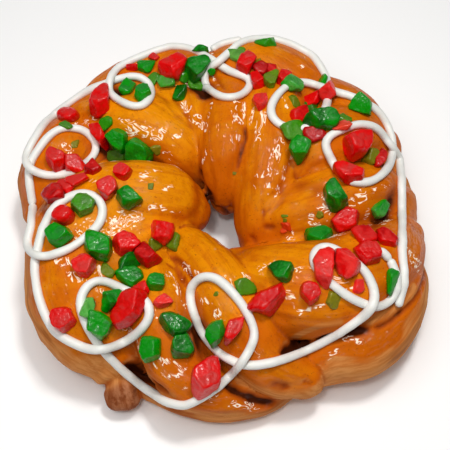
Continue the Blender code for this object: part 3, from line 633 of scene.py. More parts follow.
def noise(points, seed):
    """Smooth noise between -1 and 1: random values at whole-number places, blended between the eight
    round a point by the weights 6t^5 - 15t^4 + 10t^3."""
    cell = np.floor(points).astype(np.int64)
    t = points - cell
    t = t**3 * (t * (6 * t - 15) + 10)
    total = np.zeros(len(points))
    for corner in np.ndindex(2, 2, 2):
        place = cell + np.array(corner)
        mixed = place @ PLACE_FACTORS + seed * SEED_FACTOR
        mixed = (mixed ^ (mixed >> 13)) * 1103515245 & 0x7FFFFFFFFFFF
        mixed ^= mixed >> 17
        value = (mixed & 0xFFFF) / 32767.5 - 1
        total += np.where(corner, t, 1 - t).prod(axis=1) * value
    return total


def smoothstep(low, high, value):
    """0 below low, 1 above high, and 3t^2 - 2t^3 between them."""
    t = np.clip((value - low) / (high - low), 0, 1)
    return t * t * (3 - 2 * t)


def lengths(vectors):
    """The length of each vector."""
    return np.linalg.norm(vectors, axis=-1)


def bell(distance, half_width):
    """exp(-(d / w)^2): 1 at no distance and about a third at the half width."""
    return np.exp(-((distance / half_width) ** 2))


# Meshes and their points


def new_mesh(name, points, quads, triangles):
    """A mesh from arrays of points in millimetres and of corners."""
    corners = np.concatenate([quads.ravel(), triangles.ravel()]).astype(np.int32)
    sizes = np.concatenate([np.full(len(quads), 4), np.full(len(triangles), 3)])
    mesh = bpy.data.meshes.new(name)
    mesh.vertices.add(len(points))
    mesh.vertices.foreach_set("co", (points * MM).astype(np.float32).ravel())
    mesh.loops.add(len(corners))
    mesh.loops.foreach_set("vertex_index", corners)
    mesh.polygons.add(len(sizes))
    mesh.polygons.foreach_set("loop_start", (np.cumsum(sizes) - sizes).astype(np.int32))
    mesh.update(calc_edges=True)
    mesh.shade_smooth()
    if mesh.validate():
        raise RuntimeError(f"{name} had faces that are not valid")
    return mesh


def points_of(mesh):
    """The mesh's points in millimetres."""
    flat = np.empty(len(mesh.vertices) * 3, np.float32)
    mesh.vertices.foreach_get("co", flat)
    return flat.reshape(-1, 3).astype(float) / MM


def faces_of(mesh):
    """The mesh's quads, and the triangles that follow them. Four corners a quad and three a triangle give
    the number of quads."""
    flat = np.empty(len(mesh.loops), np.int32)
    mesh.loops.foreach_get("vertex_index", flat)
    end = 4 * (len(mesh.loops) - 3 * len(mesh.polygons))
    return flat[:end].reshape(-1, 4), flat[end:].reshape(-1, 3)


def tree_of(points, quads, triangles=NO_TRIANGLES):
    """The surface in metres, for finding what lies below or near a place."""
    return BVHTree.FromPolygons((points * MM).tolist(), quads.tolist() + triangles.tolist())


def surface_tree(*names):
    """The surfaces of these pieces together."""
    meshes = [bpy.data.objects[name].data for name in names]
    return tree_of(*joined([(points_of(mesh), *faces_of(mesh)) for mesh in meshes]))


def point_normals(points, quads):
    """The mean direction of the quads round each point, by the cross product of their diagonals."""
    faces = np.cross(points[quads[:, 2]] - points[quads[:, 0]], points[quads[:, 3]] - points[quads[:, 1]])
    total = np.zeros_like(points)
    for axis in range(3):
        for corner in range(4):
            total[:, axis] += np.bincount(quads[:, corner], faces[:, axis], len(points))
    return total / np.maximum(lengths(total), 1e-12)[:, None]


def evened(values, quads, rounds):
    """Each point's values drawn halfway to the mean of its neighbours', so many times."""
    near = np.concatenate([quads, np.roll(quads, 1, axis=1)]).ravel()
    other = np.concatenate([np.roll(quads, 1, axis=1), quads]).ravel()
    count = np.bincount(near, minlength=len(values))
    for _ in range(rounds):
        mean = [np.bincount(near, column[other], len(values)) / count for column in values.T]
        values = 0.5 * (values + np.column_stack(mean))
    return values


def largest_shell(points, quads):
    """The points and quads of the largest joined-up shell. Each point takes the lowest number that it can
    reach, by passing numbers along the edges and following them."""
    label = np.arange(len(points))
    a, b = quads.ravel(), np.roll(quads, 1, axis=1).ravel()
    while True:
        lower = label.copy()
        np.minimum.at(lower, a, label[b])
        np.minimum.at(lower, b, label[a])
        lower = lower[lower]
        if (lower == label).all():
            break
        label = lower
    keep = label == np.bincount(label).argmax()
    number = np.cumsum(keep) - 1
    return points[keep], number[quads[keep[quads[:, 0]]]]


def add_piece(name, mesh, material):
    """A finished piece of the loaf, riding on its one body."""
    obj = bpy.data.objects.new(name, mesh)
    bpy.context.scene.collection.objects.link(obj)
    mesh.materials.append(material)
    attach(obj, "root")
    return obj


def mark(mesh, name, values):
    """Keeps a value, or a vector, at each of the mesh's points for its material to read."""
    values = np.asarray(values, np.float32)
    if values.ndim == 2:
        mesh.attributes.new(name, "FLOAT_VECTOR", "POINT").data.foreach_set("vector", values.ravel())
    else:
        mesh.attributes.new(name, "FLOAT", "POINT").data.foreach_set("value", values)


# Places in the picture, and where they are on the crust


def view_axes():
    """Right, up in the picture, and towards the camera."""
    toward = (SIGHT - AIM).normalized()
    right = Vector((0.0, 1.0, 0.0)).cross(toward).normalized()
    return np.array(right), np.array(toward.cross(right)), np.array(toward)


def on_camera(pixels):
    """The slopes, rightwards and upwards, of the lines of sight through these pixels."""
    return (np.array(pixels, float) - PICTURE_WIDTH / 2) * (SENSOR / LENS / PICTURE_WIDTH) * (1, -1)


def on_crown(pixels):
    """Where the lines of sight through these pixels meet the crown level, in millimetres."""
    right, up, toward = view_axes()
    sights = on_camera(pixels) @ np.array([right, up]) - toward
    places = np.array(SIGHT) + sights * ((CROWN - SIGHT.z) / sights[:, 2:])
    return places[:, :2] / MM


def rest_on(tree, x, y):
    """Where the line from SIGHT through (x, y) on the crown level meets the crust, and its direction there.
    A line that just misses the rim gives the crust's nearest point to it."""
    toward = (Vector((x * MM, y * MM, CROWN)) - SIGHT).normalized()
    point, normal, _, _ = tree.ray_cast(SIGHT, toward)
    if point is None:
        hits = [tree.find_nearest(SIGHT + toward * far) for far in np.arange(0.42, 0.64, 0.002)]
        point, normal, _, _ = min(hits, key=lambda hit: hit[3])
    return point, normal


def on_skin(tree, line):
    """The places on the crust, in millimetres, below a line on the crown level."""
    return np.array([rest_on(tree, x, y)[0] for x, y in line]) / MM


def float_on(tree, x, y, lift):
    """The first place on the line from SIGHT through (x, y) on the crown level that is no more than the lift
    above the crust, between two of the places tried. A line that passes further off comes down to it."""
    toward = (Vector((x * MM, y * MM, CROWN)) - SIGHT).normalized()
    places = [SIGHT + toward * (SIGHT.z - height) / -toward.z for height in np.arange(0.096, 0.0, -0.0025)]
    hits = [tree.find_nearest(place)[:2] for place in places]
    above = np.array([(place - point).dot(normal) for place, (point, normal) in zip(places, hits)])
    if above.min() > lift:
        point, normal = hits[above.argmin()]
        return point + normal * lift
    first = max(int((above <= lift).argmax()), 1)
    share = (above[first - 1] - lift) / (above[first - 1] - above[first])
    return places[first - 1].lerp(places[first], min(max(share, 0.0), 1.0))


# The crust


def strand_fields(points):
    """For every point and strand, the gap to the strand's side, and the point's place in the strand's own
    straightened frame: how far along it, and how far across and above its middle."""
    gaps, places = [], []
    for stations in STRANDS.values():
        line = evenly(flowing_line(stations, SPAN_STEPS), 2.0)
        middles = line[:, :3]
        squared = (points**2).sum(axis=1)[:, None] - 2 * points @ middles.T + (middles**2).sum(axis=1)
        gap = np.sqrt(np.maximum(squared, 0)) - line[:, 3]
        near = gap.argmin(axis=1)
        offset = points - middles[near]
        place = [(offset * way[near]).sum(axis=1) for way in path_axes(middles)]
        place[0] += travelled(line)[near]
        gaps.append(gap.min(axis=1))
        places.append(np.column_stack(place))
    return np.array(gaps), np.array(places)


def blended_table():
    """True for each two strands with no crease between them."""
    names = list(STRANDS)
    table = np.eye(len(names), dtype=bool)
    for one, other in BLENDED:
        table[names.index(one), names.index(other)] = True
        table[names.index(other), names.index(one)] = True
    return table


def stretch_marks(gaps, places, grains):
    """Marks along the strands: 0.5 - |noise| of a broad and a fine grain, each longer along the strand than
    across it, in each strand's own frame. Where strands meet, each counts by how close its side is."""
    broad_grain, fine_grain = grains
    nearest = gaps.min(axis=0)
    total = np.zeros(len(nearest))
    weight = np.zeros(len(nearest))
    for number, (gap, place) in enumerate(zip(gaps, places)):
        close = gap - nearest < 6.0
        share = np.exp(-(gap[close] - nearest[close]) / 1.2)
        broad = noise(place[close] / broad_grain, seed=31 + number)
        fine = noise(place[close] / fine_grain, seed=71 + number)
        total[close] += share * (1.2 * (0.5 - np.abs(broad)) + 0.6 * (0.5 - np.abs(fine)))
        weight[close] += share
    return total / weight


def crease_marks(points, quads):
    """How deep the listed creases are at each point, and how dark their painted shade is. Across a crease
    both are bells of the distance to its route on the skin, the shade a quarter wider, and they run out
    towards its ends."""
    tree = tree_of(points, quads)
    depth = np.zeros(len(points))
    dark = np.zeros(len(points))
    for route, width, deep, shade in CREASES:
        spots = on_skin(tree, evenly(flowing_line(route, SPAN_STEPS), 1.0))
        to_end = np.minimum(np.arange(len(spots)) + 1.0, np.arange(len(spots), 0, -1.0))
        run_out = min(3.5 * width, 0.4 * len(spots))
        strength = smoothstep(-1.0, run_out, to_end) * (0.95 + 0.2 * noise(spots / 6, seed=21))
        middle = spots.mean(axis=0)
        reach = lengths(spots - middle).max() + 4 * width
        near = np.flatnonzero(lengths(points - middle) < reach)
        away = lengths(points[near, None] - spots[None])
        strength = strength[away.argmin(axis=1)]
        away = away.min(axis=1)
        depth[near] = np.maximum(depth[near], deep * strength * bell(away, width))
        dark[near] = np.maximum(dark[near], shade * strength * bell(away, 1.25 * width))
    uneven = 0.9 + 0.2 * noise(points / 5.0, seed=22)
    return depth * uneven, dark * uneven


def patch_marks(points, tree, rows, soft=1.3):
    """1 within about two thirds of each row's half width of its route on the skin, running out over twice
    the soft distance."""
    marks = np.zeros(len(points))
    for route, width in rows:
        spots = on_skin(tree, evenly(on_crown(route), 1.5))
        near = np.flatnonzero(lengths(points - spots.mean(axis=0)) < 2 * width + 30)
        away = lengths(points[near, None] - spots[None]).min(axis=1)
        inside = 0.62 * width
        marks[near] = np.maximum(marks[near], smoothstep(inside + soft, inside - soft, away))
    return marks


def painted_glint_marks(points, normals, dry, tree):
    """1 where pale curls are painted in as glints of the glaze: at the listed places, and by a noise on the
    glazed slopes that the picture doesn't show."""
    hidden = smoothstep(0.3, 0.1, normals @ view_axes()[2]) * smoothstep(0.15, 0.4, normals[:, 2])
    hidden *= smoothstep(0.6, 0.2, dry) * smoothstep(0.1, 0.3, noise(points / 14, seed=44))
    return np.maximum(patch_marks(points, tree, GLINT_ROUTES), hidden)


def blended_skin(loaf):
    """The swept strands and the heel blended into one skin: its points and its even quads."""
    shapes = [heel()]
    for stations in STRANDS.values():
        line = evenly(flowing_line(stations, SPAN_STEPS), TUBE_STEP)
        shapes.append(tube(with_round_ends(line), TUBE_SIDES))
    blank = bpy.data.objects.new("blank", new_mesh("blank", *joined(shapes)))
    bpy.context.scene.collection.objects.link(blank)
    blend = blank.modifiers.new("blend", "REMESH")
    blend.mode = "VOXEL"
    blend.voxel_size = loaf.skin_step
    soften = blank.modifiers.new("soften", "SMOOTH")
    soften.factor = 0.5
    soften.iterations = loaf.soften_rounds
    graph = bpy.context.evaluated_depsgraph_get()
    skin = bpy.data.meshes.new_from_object(blank.evaluated_get(graph))
    shell = largest_shell(points_of(skin), faces_of(skin)[0])
    bpy.data.meshes.remove(skin)
    bpy.data.objects.remove(blank)
    return shell


def sunk_below(points, quads, normals, rounds):
    """How far each point lies below its surroundings, which are the skin evened out so many times."""
    return ((evened(points, quads, rounds) - points) * normals).sum(axis=1)


def dry_marks(points, normals, best, tree):
    """1 where the crust is dry: low on the steep outside, on the dough's end, in part in the hole's throat
    and where the wash missed it, but not where the glaze has run down."""
    outward = (points - RING_MIDDLE)[:, :2]
    out = lengths(outward)
    facing = (normals[:, :2] * outward).sum(axis=1) / out
    edge = 0.12 * noise(points / 14, seed=14)
    steep = smoothstep(0.84, 0.5, normals[:, 2] + edge) * smoothstep(0.2, 0.5, facing)
    outside = np.array([name in OUTSIDE for name in STRANDS])[best]
    low = smoothstep(0, -20, points[:, 2] + 40 * edge - np.where(outside, DRY_TOP_OUTSIDE, DRY_TOP))
    low = low * steep * smoothstep(80, 96, out)
    throat = smoothstep(34, 20, lengths(points[:, :2] - THROAT))
    throat *= smoothstep(40, 26, points[:, 2]) * smoothstep(0.6, 0.2, normals[:, 2])
    missed = patch_marks(points, tree, MATTE)
    dry = np.maximum.reduce([low, 0.45 * throat, best == TAIL, 0.75 * missed])
    return dry * (1 - 0.9 * patch_marks(points, tree, GLAZED, GLAZE_EDGE))


def crown_gold_and_light_marks(points, normals, gaps):
    """How golden the crust is: as its strands are, weighed by exp(-gap / 2.5), on what faces up, lies high,
    and is neither far out, except on the dome, nor at the very front. The gold on what faces up is painted
    light from above."""
    shares = np.exp(-(gaps - gaps.min(axis=0)) / 2.5)
    golden = np.array([GOLDEN[name] for name in STRANDS]) @ shares / shares.sum(axis=0)
    out = lengths((points - RING_MIDDLE)[:, :2])
    off_dome = smoothstep(14, 40, lengths(points[:, :2] - DOME))
    golden *= smoothstep(0.25, 0.95, normals[:, 2]) * smoothstep(22, 50, points[:, 2])
    golden *= 1 - 0.6 * smoothstep(74, 104, out) * off_dome
    return golden * (1 - 0.5 * smoothstep(-84, -100, points[:, 1]))


def bake_crust(loaf):
    """The crust's points and quads, in millimetres, and the marks that its material reads.

    Each point of the skin moves along its normal, first out of the valleys between strands, and then by
    lumps + folds + marks - creases, where a crease is a bell of the difference between the point's gaps to
    the two nearest strands. What lies below z = 0 is pressed flat.
    """
    points, quads = blended_skin(loaf)
    gaps, places = strand_fields(points)
    nearest, best = gaps.min(axis=0), gaps.argmin(axis=0)
    second = np.partition(gaps, 1, axis=0)[1]
    joined_up = blended_table()[best].T
    to_next = np.where(joined_up, np.inf, gaps).min(axis=0) - nearest
    to_blended = np.where(joined_up & (gaps > nearest), gaps, np.inf).min(axis=0) - nearest
    normals = point_normals(points, quads)
    valley = np.clip(sunk_below(points, quads, normals, BROAD_ROUNDS), 0, VALLEY_FILL)
    share = loaf.run_together + (FILL_WHERE_BLENDED - loaf.run_together) * bell(np.minimum(to_blended, 99), 9)
    points = points + normals * (valley * share)[:, None]

    cut, shade = crease_marks(points, quads)
    crease = bell(to_next, CREASE_HALF_WIDTH) * np.clip(0.75 + 0.5 * noise(points / 17, seed=5), 0.2, 1.2)
    crease *= 1 + TAIL_CREASE * (second == gaps[TAIL]) + TAIL_CREASE * (best == TAIL)
    marks = stretch_marks(gaps, places, STRETCH_GRAINS)
    marks *= 0.1 + 0.9 * smoothstep(-0.25, 0.35, noise(points / 20, seed=9))
    folds = stretch_marks(gaps, places, FOLD_GRAINS)
    lumps = noise(points / 25, seed=1) + 0.45 * noise(points / 11, seed=2)
    rise = loaf.lump_depth * lumps + loaf.fold_depth * folds + loaf.stretch_depth * marks
    rise -= loaf.crease_depth * crease
    points = points + point_normals(points, quads) * (rise / MM - cut)[:, None]
    points[:, 2] = np.maximum(points[:, 2], 0.0)

    normals = point_normals(points, quads)
    hollow = sunk_below(points, quads, normals, FINE_ROUNDS)
    valley = sunk_below(points, quads, normals, BROAD_ROUNDS)
    tree = tree_of(points, quads)
    dry = dry_marks(points, normals, best, tree)
    # deep is painted shade: the crust's colour is darkened by it in hollows, valleys and creases.
    deep = 0.18 * np.clip(hollow / 0.5, 0, 1) + 0.3 * np.clip(valley / 3.5, 0, 1) + 0.05 * crease + shade
    apart = best[:, None] * 400.0  # so that the patterns of two strands don't match
    return points, quads, {
        "strand": (places[best, np.arange(len(points))] + apart) * MM,
        "sure": smoothstep(0.5, 3.0, second - nearest),
        "deep": deep,
        "tail": (best == TAIL) * smoothstep(0.0, 3.0, to_next),
        "wall": dry,
        "glaze": smoothstep(0.2, 0.6, normals[:, 2]) * smoothstep(0.6, 0.1, dry),
        "curls": painted_glint_marks(points, normals, dry, tree),
        "crown": crown_gold_and_light_marks(points, normals, gaps),
    }


# The icing


def smooth_path(line, rounds):
    """Each inner place drawn halfway to the middle of its two neighbours, so many times."""
    for _ in range(rounds):
        line[1:-1] += 0.25 * (line[:-2] - 2 * line[1:-1] + line[2:])
    return line


def bead_path(tree, pixels, diameter, sunk):
    """The middle line of a bead of icing in millimetres: its route laid on the crust, evened out so that it
    bridges tight folds, and raised towards the camera where it passes over itself."""
    route = evenly(flowing_line(on_crown(pixels), BEAD_SPAN_STEPS), BEAD_STEP)
    lift = diameter / 2 - sunk
    line = np.array([float_on(tree, x, y, lift) for x, y in route]) / MM
    for _ in range(BEAD_SETTLINGS):
        line = smooth_path(line, 4)
        for i, place in enumerate(line):
            point, normal, _, _ = tree.find_nearest(Vector(place * MM))
            short = lift - (Vector(place * MM) - point).dot(normal)
            if short > 0:
                line[i] += np.array(normal) * short / MM
    diameter = diameter / MM
    gap = lengths(line[:, None] - line[None])
    order = np.arange(len(line))
    gap[order[None] > order[:, None] - round(CROSSING_LENGTH / BEAD_STEP)] = np.inf
    over = 1.1 * diameter * smoothstep(1.55 * diameter, 0.35 * diameter, gap.min(axis=1))
    sights = np.array(SIGHT) / MM - line
    return line + (smooth_path(over, 14) / lengths(sights))[:, None] * sights


def pipe_icing(tree, diameter, sunk):
    """The beads as (points, quads, triangles): a circle, a little flattened, whose radius wavers by noise
    along the path and rounds off at both ends."""
    beads = []
    for pixels in ([pixel for loop in BEAD_ROUTE for pixel in loop], BACK_BEAD):
        line = bead_path(tree, pixels, diameter, sunk)
        along = travelled(line)
        waver = 1 + 0.07 * noise(np.column_stack([along / 16, along * 0, along * 0]), seed=3)
        waver += 0.03 * noise(np.column_stack([along / 5, along * 0 + 7, along * 0]), seed=4)
        for notch in on_skin(tree, on_crown(BEAD_NOTCHES)):
            away = lengths(line - notch)
            if away.min() < 2 * diameter / MM:
                waver *= 1 - 0.4 * bell(along - along[away.argmin()], 0.9)
        radius = 0.5 * diameter / MM * waver
        beads.append(tube(with_round_ends(np.column_stack([line, radius])), BEAD_SIDES, BEAD_HEIGHT))
    return joined(beads)


# The fruit


def ball_directions(cuts):
    """Directions over a ball from a cube cut into even squares, with the quads between them."""
    shape = bmesh.new()
    bmesh.ops.create_cube(shape, size=2.0)
    bmesh.ops.subdivide_edges(shape, edges=shape.edges[:], cuts=cuts, use_grid_fill=True)
    mesh = bpy.data.meshes.new("ball")
    shape.to_mesh(mesh)
    shape.free()
    points, quads = points_of(mesh), faces_of(mesh)[0]
    bpy.data.meshes.remove(mesh)
    points = np.tan(points * MM * np.pi / 4)
    return points / lengths(points)[:, None], quads


def cut_fruit(directions, facets, reaches, sharpness, seed):
    """A chunk of fruit bounded by flat facets: in the direction d its surface lies at the distance
    1 / (sum of (d . n / h)^p)^(1/p) over the facets of normal n and reach h that d leans towards. The
    higher the power p, the crisper the edges. Noise then dents it."""
    leaning = np.maximum(directions @ facets.T, 0) / reaches
    distance = (leaning**sharpness).sum(axis=1) ** (-1 / sharpness)
    distance *= (1 / leaning.max(axis=1)).mean() / distance.mean()
    dents = 0.05 * noise(directions * 1.7 + seed, seed=seed)
    dents += 0.035 * noise(directions * 4.5 + seed, seed=seed + 1)
    return directions * (distance * (1 + dents))[:, None]


def extra_cuts(draw, facets, reaches, count):
    """The facets with a few more knife cuts, each across a corner or an edge, at a share of how far the
    chunk reaches that way."""
    ways = draw.normal(0, 1, (count, 3))
    ways[:, 2] = np.abs(ways[:, 2]) * 0.8
    ways /= lengths(ways)[:, None]
    probe, _ = ball_directions(5)
    leaning = (np.maximum(probe @ facets.T, 0) / reaches).max(axis=1)
    surface = probe / leaning[:, None]
    reach = (surface @ ways.T).max(axis=0) * draw.uniform(0.84, 0.96, count)
    return np.vstack([facets, ways]), np.concatenate([reaches, reach])


def crust_heights(cell=2.0, reach=140.0):
    """The crust's height over a grid of cells: the highest of the points in each."""
    points = points_of(bpy.data.objects["crust"].data)
    size = int(2 * reach / cell)
    column = ((points[:, :2] + reach) / cell).astype(int)
    heights = np.zeros((size, size))
    np.maximum.at(heights, (column[:, 0], column[:, 1]), points[:, 2])
    return lambda places: heights[tuple(((places[:, :2] + reach) / cell).astype(int).T)]


def settled(points, heights):
    """The chunk with its underside drawn down to the crust, the more so the lower a point is."""
    low, high = points[:, 2].min(), points[:, 2].max()
    share = np.clip((high - points[:, 2]) / (high - low), 0, 1) ** 1.5
    gap = np.clip(points[:, 2] - heights(points) + 0.5, 0, 6.0)
    gap *= smoothstep(0.0, 0.5, share)
    points = points.copy()
    points[:, 2] -= gap * share
    return points


def die_of(corners, tree, bead, draw):
    """The middle of a die, and the normals and reaches of its facets, from its corners in the picture.

    One facet per side of the outline runs along the line of sight, so that the die has that outline. One lies
    as the crust does and is its top, two or three face the camera below it, and one is its underside. The
    middle is half the thickness above the crust, and more where the die lies over the bead."""
    right, up, toward = view_axes()
    corners = on_camera(corners)
    middle = (corners.min(axis=0) + corners.max(axis=0)) / 2
    sight = right * middle[0] + up * middle[1] - toward
    point, normal, _, _ = tree.ray_cast(SIGHT, Vector(sight).normalized())
    far = (np.array(SIGHT) - np.array(point)) @ toward / MM
    corners = (corners - middle) * far
    width, height = np.ptp(corners, axis=0)
    thickness = min(width, height / 1.25) * draw.uniform(0.68, 0.86)
    lies = 0.6 * np.array(normal) + (0.0, 0.0, 0.5) + draw.normal(0, 0.09, 3)
    lies /= lengths(lies)
    centre = np.array(point) / MM - sight / lengths(sight) * 0.46 * thickness / max(lies @ toward, 0.5)

    sides = np.roll(corners, -1, axis=0) - corners
    outward = np.column_stack([-sides[:, 1], sides[:, 0]]) / lengths(sides)[:, None]
    reaches = (outward * corners).sum(axis=1)
    outward *= np.sign(reaches)[:, None]
    from_centre = bead - centre
    seen = from_centre @ np.array([right, up]).T
    under = ((seen @ outward.T) < np.abs(reaches) - 0.6).all(axis=1) & (lengths(from_centre) < 25)
    if under.any():
        centre = centre + toward * np.clip((from_centre[under] @ toward).max() - 0.2 * thickness, 0, 3.5)
    facets = [outward @ np.array([right, up]), [lies], [-lies]]
    reaches = [np.abs(reaches), [0.5 * thickness], [0.5 * thickness + 0.8]]
    ahead = toward - (toward @ lies) * lies
    ahead /= lengths(ahead)
    aside = np.cross(lies, ahead)
    start = draw.uniform(-0.9, -0.4)
    for angle in (start, start + draw.uniform(0.9, 1.5)):
        way = np.cos(angle) * ahead + np.sin(angle) * aside + draw.uniform(0.0, 0.35) * lies
        reach = np.hypot(0.46 * width * np.sin(angle), 0.37 * height * np.cos(angle))
        facets.append([way / lengths(way)])
        reaches.append([reach * draw.uniform(0.9, 1.05)])
    return centre, np.vstack(facets), np.concatenate(reaches)


def cut_die(kind, number, corners, ball, tree, bead, heights, sharpness):
    """The points of one large die: a chunk with the facets of its outline and a few more knife cuts, settled
    on the crust. A cherry is rounder and has no more cuts."""
    draw = np.random.default_rng(DIE_SEEDS[kind] + number)
    middle, facets, reaches = die_of(corners, tree, bead, draw)
    middle = middle + view_axes()[2] * RAISED.get((kind, number), 0.0)
    cherry = (kind, number) in CHERRIES
    facets, reaches = extra_cuts(draw, facets, reaches, 0 if cherry else EXTRA_CUTS)
    sharpness = CHERRY_SHARPNESS if cherry else draw.uniform(0.7, 1.5) * sharpness
    return settled(middle + cut_fruit(ball, facets, reaches, sharpness, DENT_SEED + number), heights)


def mark_fruit(mesh, points, quads, tone, glazed):
    """What the fruit's material reads: how far each point faces up, for its painted sheen and sugary film on
    top, its tone and its taken-up glaze.
    """
    mark(mesh, "top", smoothstep(0.7, 0.95, point_normals(points, quads)[:, 2]))
    mark(mesh, "tone", np.broadcast_to(tone, len(points)))
    mark(mesh, "glaze", np.broadcast_to(glazed, len(points)))


def random_facets(draw, width, depth, thickness):
    """The facets of a scrap: the six of a box, tilted a little, and six that cut off corners."""
    box = np.vstack([np.eye(3), -np.eye(3)])
    half = np.array([width, depth, thickness]) / 2
    reaches = np.tile(half, 2) * draw.uniform(0.8, 1.0, 6)
    facets = box + draw.normal(0, 0.2, (6, 3))
    corners = draw.choice([-1.0, 1.0], (6, 3)) * draw.uniform(0.4, 1.0, (6, 3))
    cuts = np.abs(corners * half).sum(axis=1) / lengths(corners) * draw.uniform(0.55, 0.8, 6)
    facets = np.vstack([facets, corners])
    return facets / lengths(facets)[:, None], np.concatenate([reaches, cuts])


def scraps_of(places, tree, sharpness, seed):
    """All the scraps of one colour as (points, quads, triangles), with the tone and the taken-up glaze of
    each point. A scrap lies along the crust, sunk the deeper the more glaze it has taken up, and on top of
    any bead there, unless the crust is steep."""
    draw = np.random.default_rng(seed)
    directions, quads = ball_directions(SCRAP_SPLITS)
    shapes, tones, glazed = [], [], []
    for number, (x, y, width, depth, tone, taken) in enumerate(places):
        thickness = 0.62 * min(width, depth) * (1 - 0.45 * taken)
        facets, reaches = random_facets(draw, width, depth, thickness)
        points = cut_fruit(directions, facets, reaches, sharpness, seed + number)
        point, normal = rest_on(tree, x, y)
        up = np.array(normal)
        around = [(x + a * width, y + b * depth) for a, b in ((0.3, 0), (-0.3, 0), (0, 0.3), (0, -0.3))]
        highest = max((np.array(rest_on(tree, *place)[0] - point) / MM) @ up for place in around)
        across = np.cross((0.0, 1.0, 0.0), up)
        across /= lengths(across)
        turn = draw.uniform(-0.6, 0.6)
        beside = np.cross(up, across)
        across, beside = (
            np.cos(turn) * across + np.sin(turn) * beside,
            np.cos(turn) * beside - np.sin(turn) * across,
        )
        raised = thickness * (0.18 - 0.42 * taken) + (up[2] > 0.6) * min(max(highest, 0.0), 3.5)
        points = points @ np.array([across, beside, up]) + np.array(point) / MM + up * raised
        shapes.append((points, quads, NO_TRIANGLES))
        tones.append(np.full(len(points), tone))
        glazed.append(np.full(len(points), taken))
    return joined(shapes), np.concatenate(tones), np.concatenate(glazed)


# Materials


# Colours besides those of the settings.
RUST = (0.44, 0.075, 0.001, 1)
RUST_FINE = (0.40, 0.065, 0.001, 1)
SPECK = (0.20, 0.035, 0.004, 1)
WALL_PALE = (0.70, 0.29, 0.08, 1)
WALL_BURNT = (0.26, 0.055, 0.008, 1)
TAIL_PALE = (0.48, 0.19, 0.085, 1)
TAIL_BROWN = (0.26, 0.062, 0.014, 1)
TAIL_BURNT = (0.19, 0.035, 0.006, 1)
# Painted shade in the hollows, valleys and creases.
HOLLOW_SHADE = (0.36, 0.062, 0.003, 1)
# Painted highlight: the pale colour of the painted glints.
PAINTED_GLINT = (1.0, 0.86, 0.68, 1)
# The last colour of each is what facets that face up are paled to: partly a sugary film, partly painted
# sheen.
RED_SHADES = {"dark": (0.36, 0.0, 0.0005), "pale": (0.86, 0.05, 0.04), "glazed": (0.62, 0.10, 0.01),
              "sugar_and_sheen": (0.50, 0.026, 0.022)}
GREEN_SHADES = {"dark": (0.0003, 0.09, 0.001), "pale": (0.13, 0.46, 0.08), "glazed": (0.22, 0.17, 0.006),
                "sugar_and_sheen": (0.014, 0.17, 0.022)}


class Nodes:
    """A short way to add and link nodes."""

    def __init__(self, tree):
        self.tree = tree

    def add(self, kind, settings=(), **inputs):
        """A node with its settings, and values or links for the inputs of these names."""
        node = self.tree.nodes.new(kind)
        for key, value in dict(settings).items():
            setattr(node, key, value)
        for key, value in inputs.items():
            self.put(node.inputs[key.replace("_", " ")], value)
        return node

    def put(self, socket, value):
        """Links the socket to another one, or sets it to a value."""
        if isinstance(value, bpy.types.NodeSocket):
            self.tree.links.new(value, socket)
        else:
            socket.default_value = value

    def math(self, operation, a, b=0.0):
        node = self.tree.nodes.new("ShaderNodeMath")
        node.operation = operation
        self.put(node.inputs[0], a)
        self.put(node.inputs[1], b)
        return node.outputs[0]

    def around(self, share, reach=1.0):
        """A share round 0.5 as a number round 0, times its reach."""
        return self.math("MULTIPLY", self.math("SUBTRACT", share, 0.5), reach)

    def mix(self, share, a, b):
        """From colour a to colour b. The node's colour sockets are inputs 6 and 7 and output 2."""
        node = self.tree.nodes.new("ShaderNodeMix")
        node.data_type = "RGBA"
        self.put(node.inputs[0], share)
        self.put(node.inputs[6], a)
        self.put(node.inputs[7], b)
        return node.outputs[2]

    def ranged(self, value, low, high, to_low=0.0, to_high=1.0):
        """A smooth step from to_low, at low, up to to_high, at high."""
        node = self.tree.nodes.new("ShaderNodeMapRange")
        node.interpolation_type = "SMOOTHSTEP"
        for socket, number in zip(node.inputs, (value, low, high, to_low, to_high)):
            self.put(socket, number)
        return node.outputs[0]

    def noise(self, vector, scale, detail=2.0, roughness=0.5, distortion=0.0):
        node = self.add(
            "ShaderNodeTexNoise", Vector=vector, Scale=scale, Detail=detail, Roughness=roughness,
            Distortion=distortion,
        )
        return node.outputs["Fac"]

    def attribute(self, name, output="Fac"):
        return self.add("ShaderNodeAttribute", {"attribute_name": name}).outputs[output]

    def streaks(self, strand, scale, detail, roughness, distortion):
        """Noise drawn out along the strands: its scale is given along, across and above them."""
        drawn = self.add("ShaderNodeMapping", Vector=strand, Scale=scale).outputs["Vector"]
        return self.noise(drawn, 1.0, detail, roughness, distortion)

    def place(self):
        return self.add("ShaderNodeTexCoord").outputs["Object"]

    def bump(self, height, strength, distance):
        node = self.add("ShaderNodeBump", Height=height, Strength=strength, Distance=distance)
        return node.outputs["Normal"]


def new_material(name):
    """A material with only its shader, and the means to add nodes to it."""
    made = bpy.data.materials.new(name)
    made.use_nodes = True
    return made, Nodes(made.node_tree), made.node_tree.nodes["Principled BSDF"]


def set_inputs(nodes, shader, **inputs):
    """Sets or links the shader's inputs, by their names."""
    for name, value in inputs.items():
        nodes.put(shader.inputs[name.replace("_", " ")], value)


def rgba(colour):
    """The colour with an alpha of 1."""
    return (*colour, 1.0)


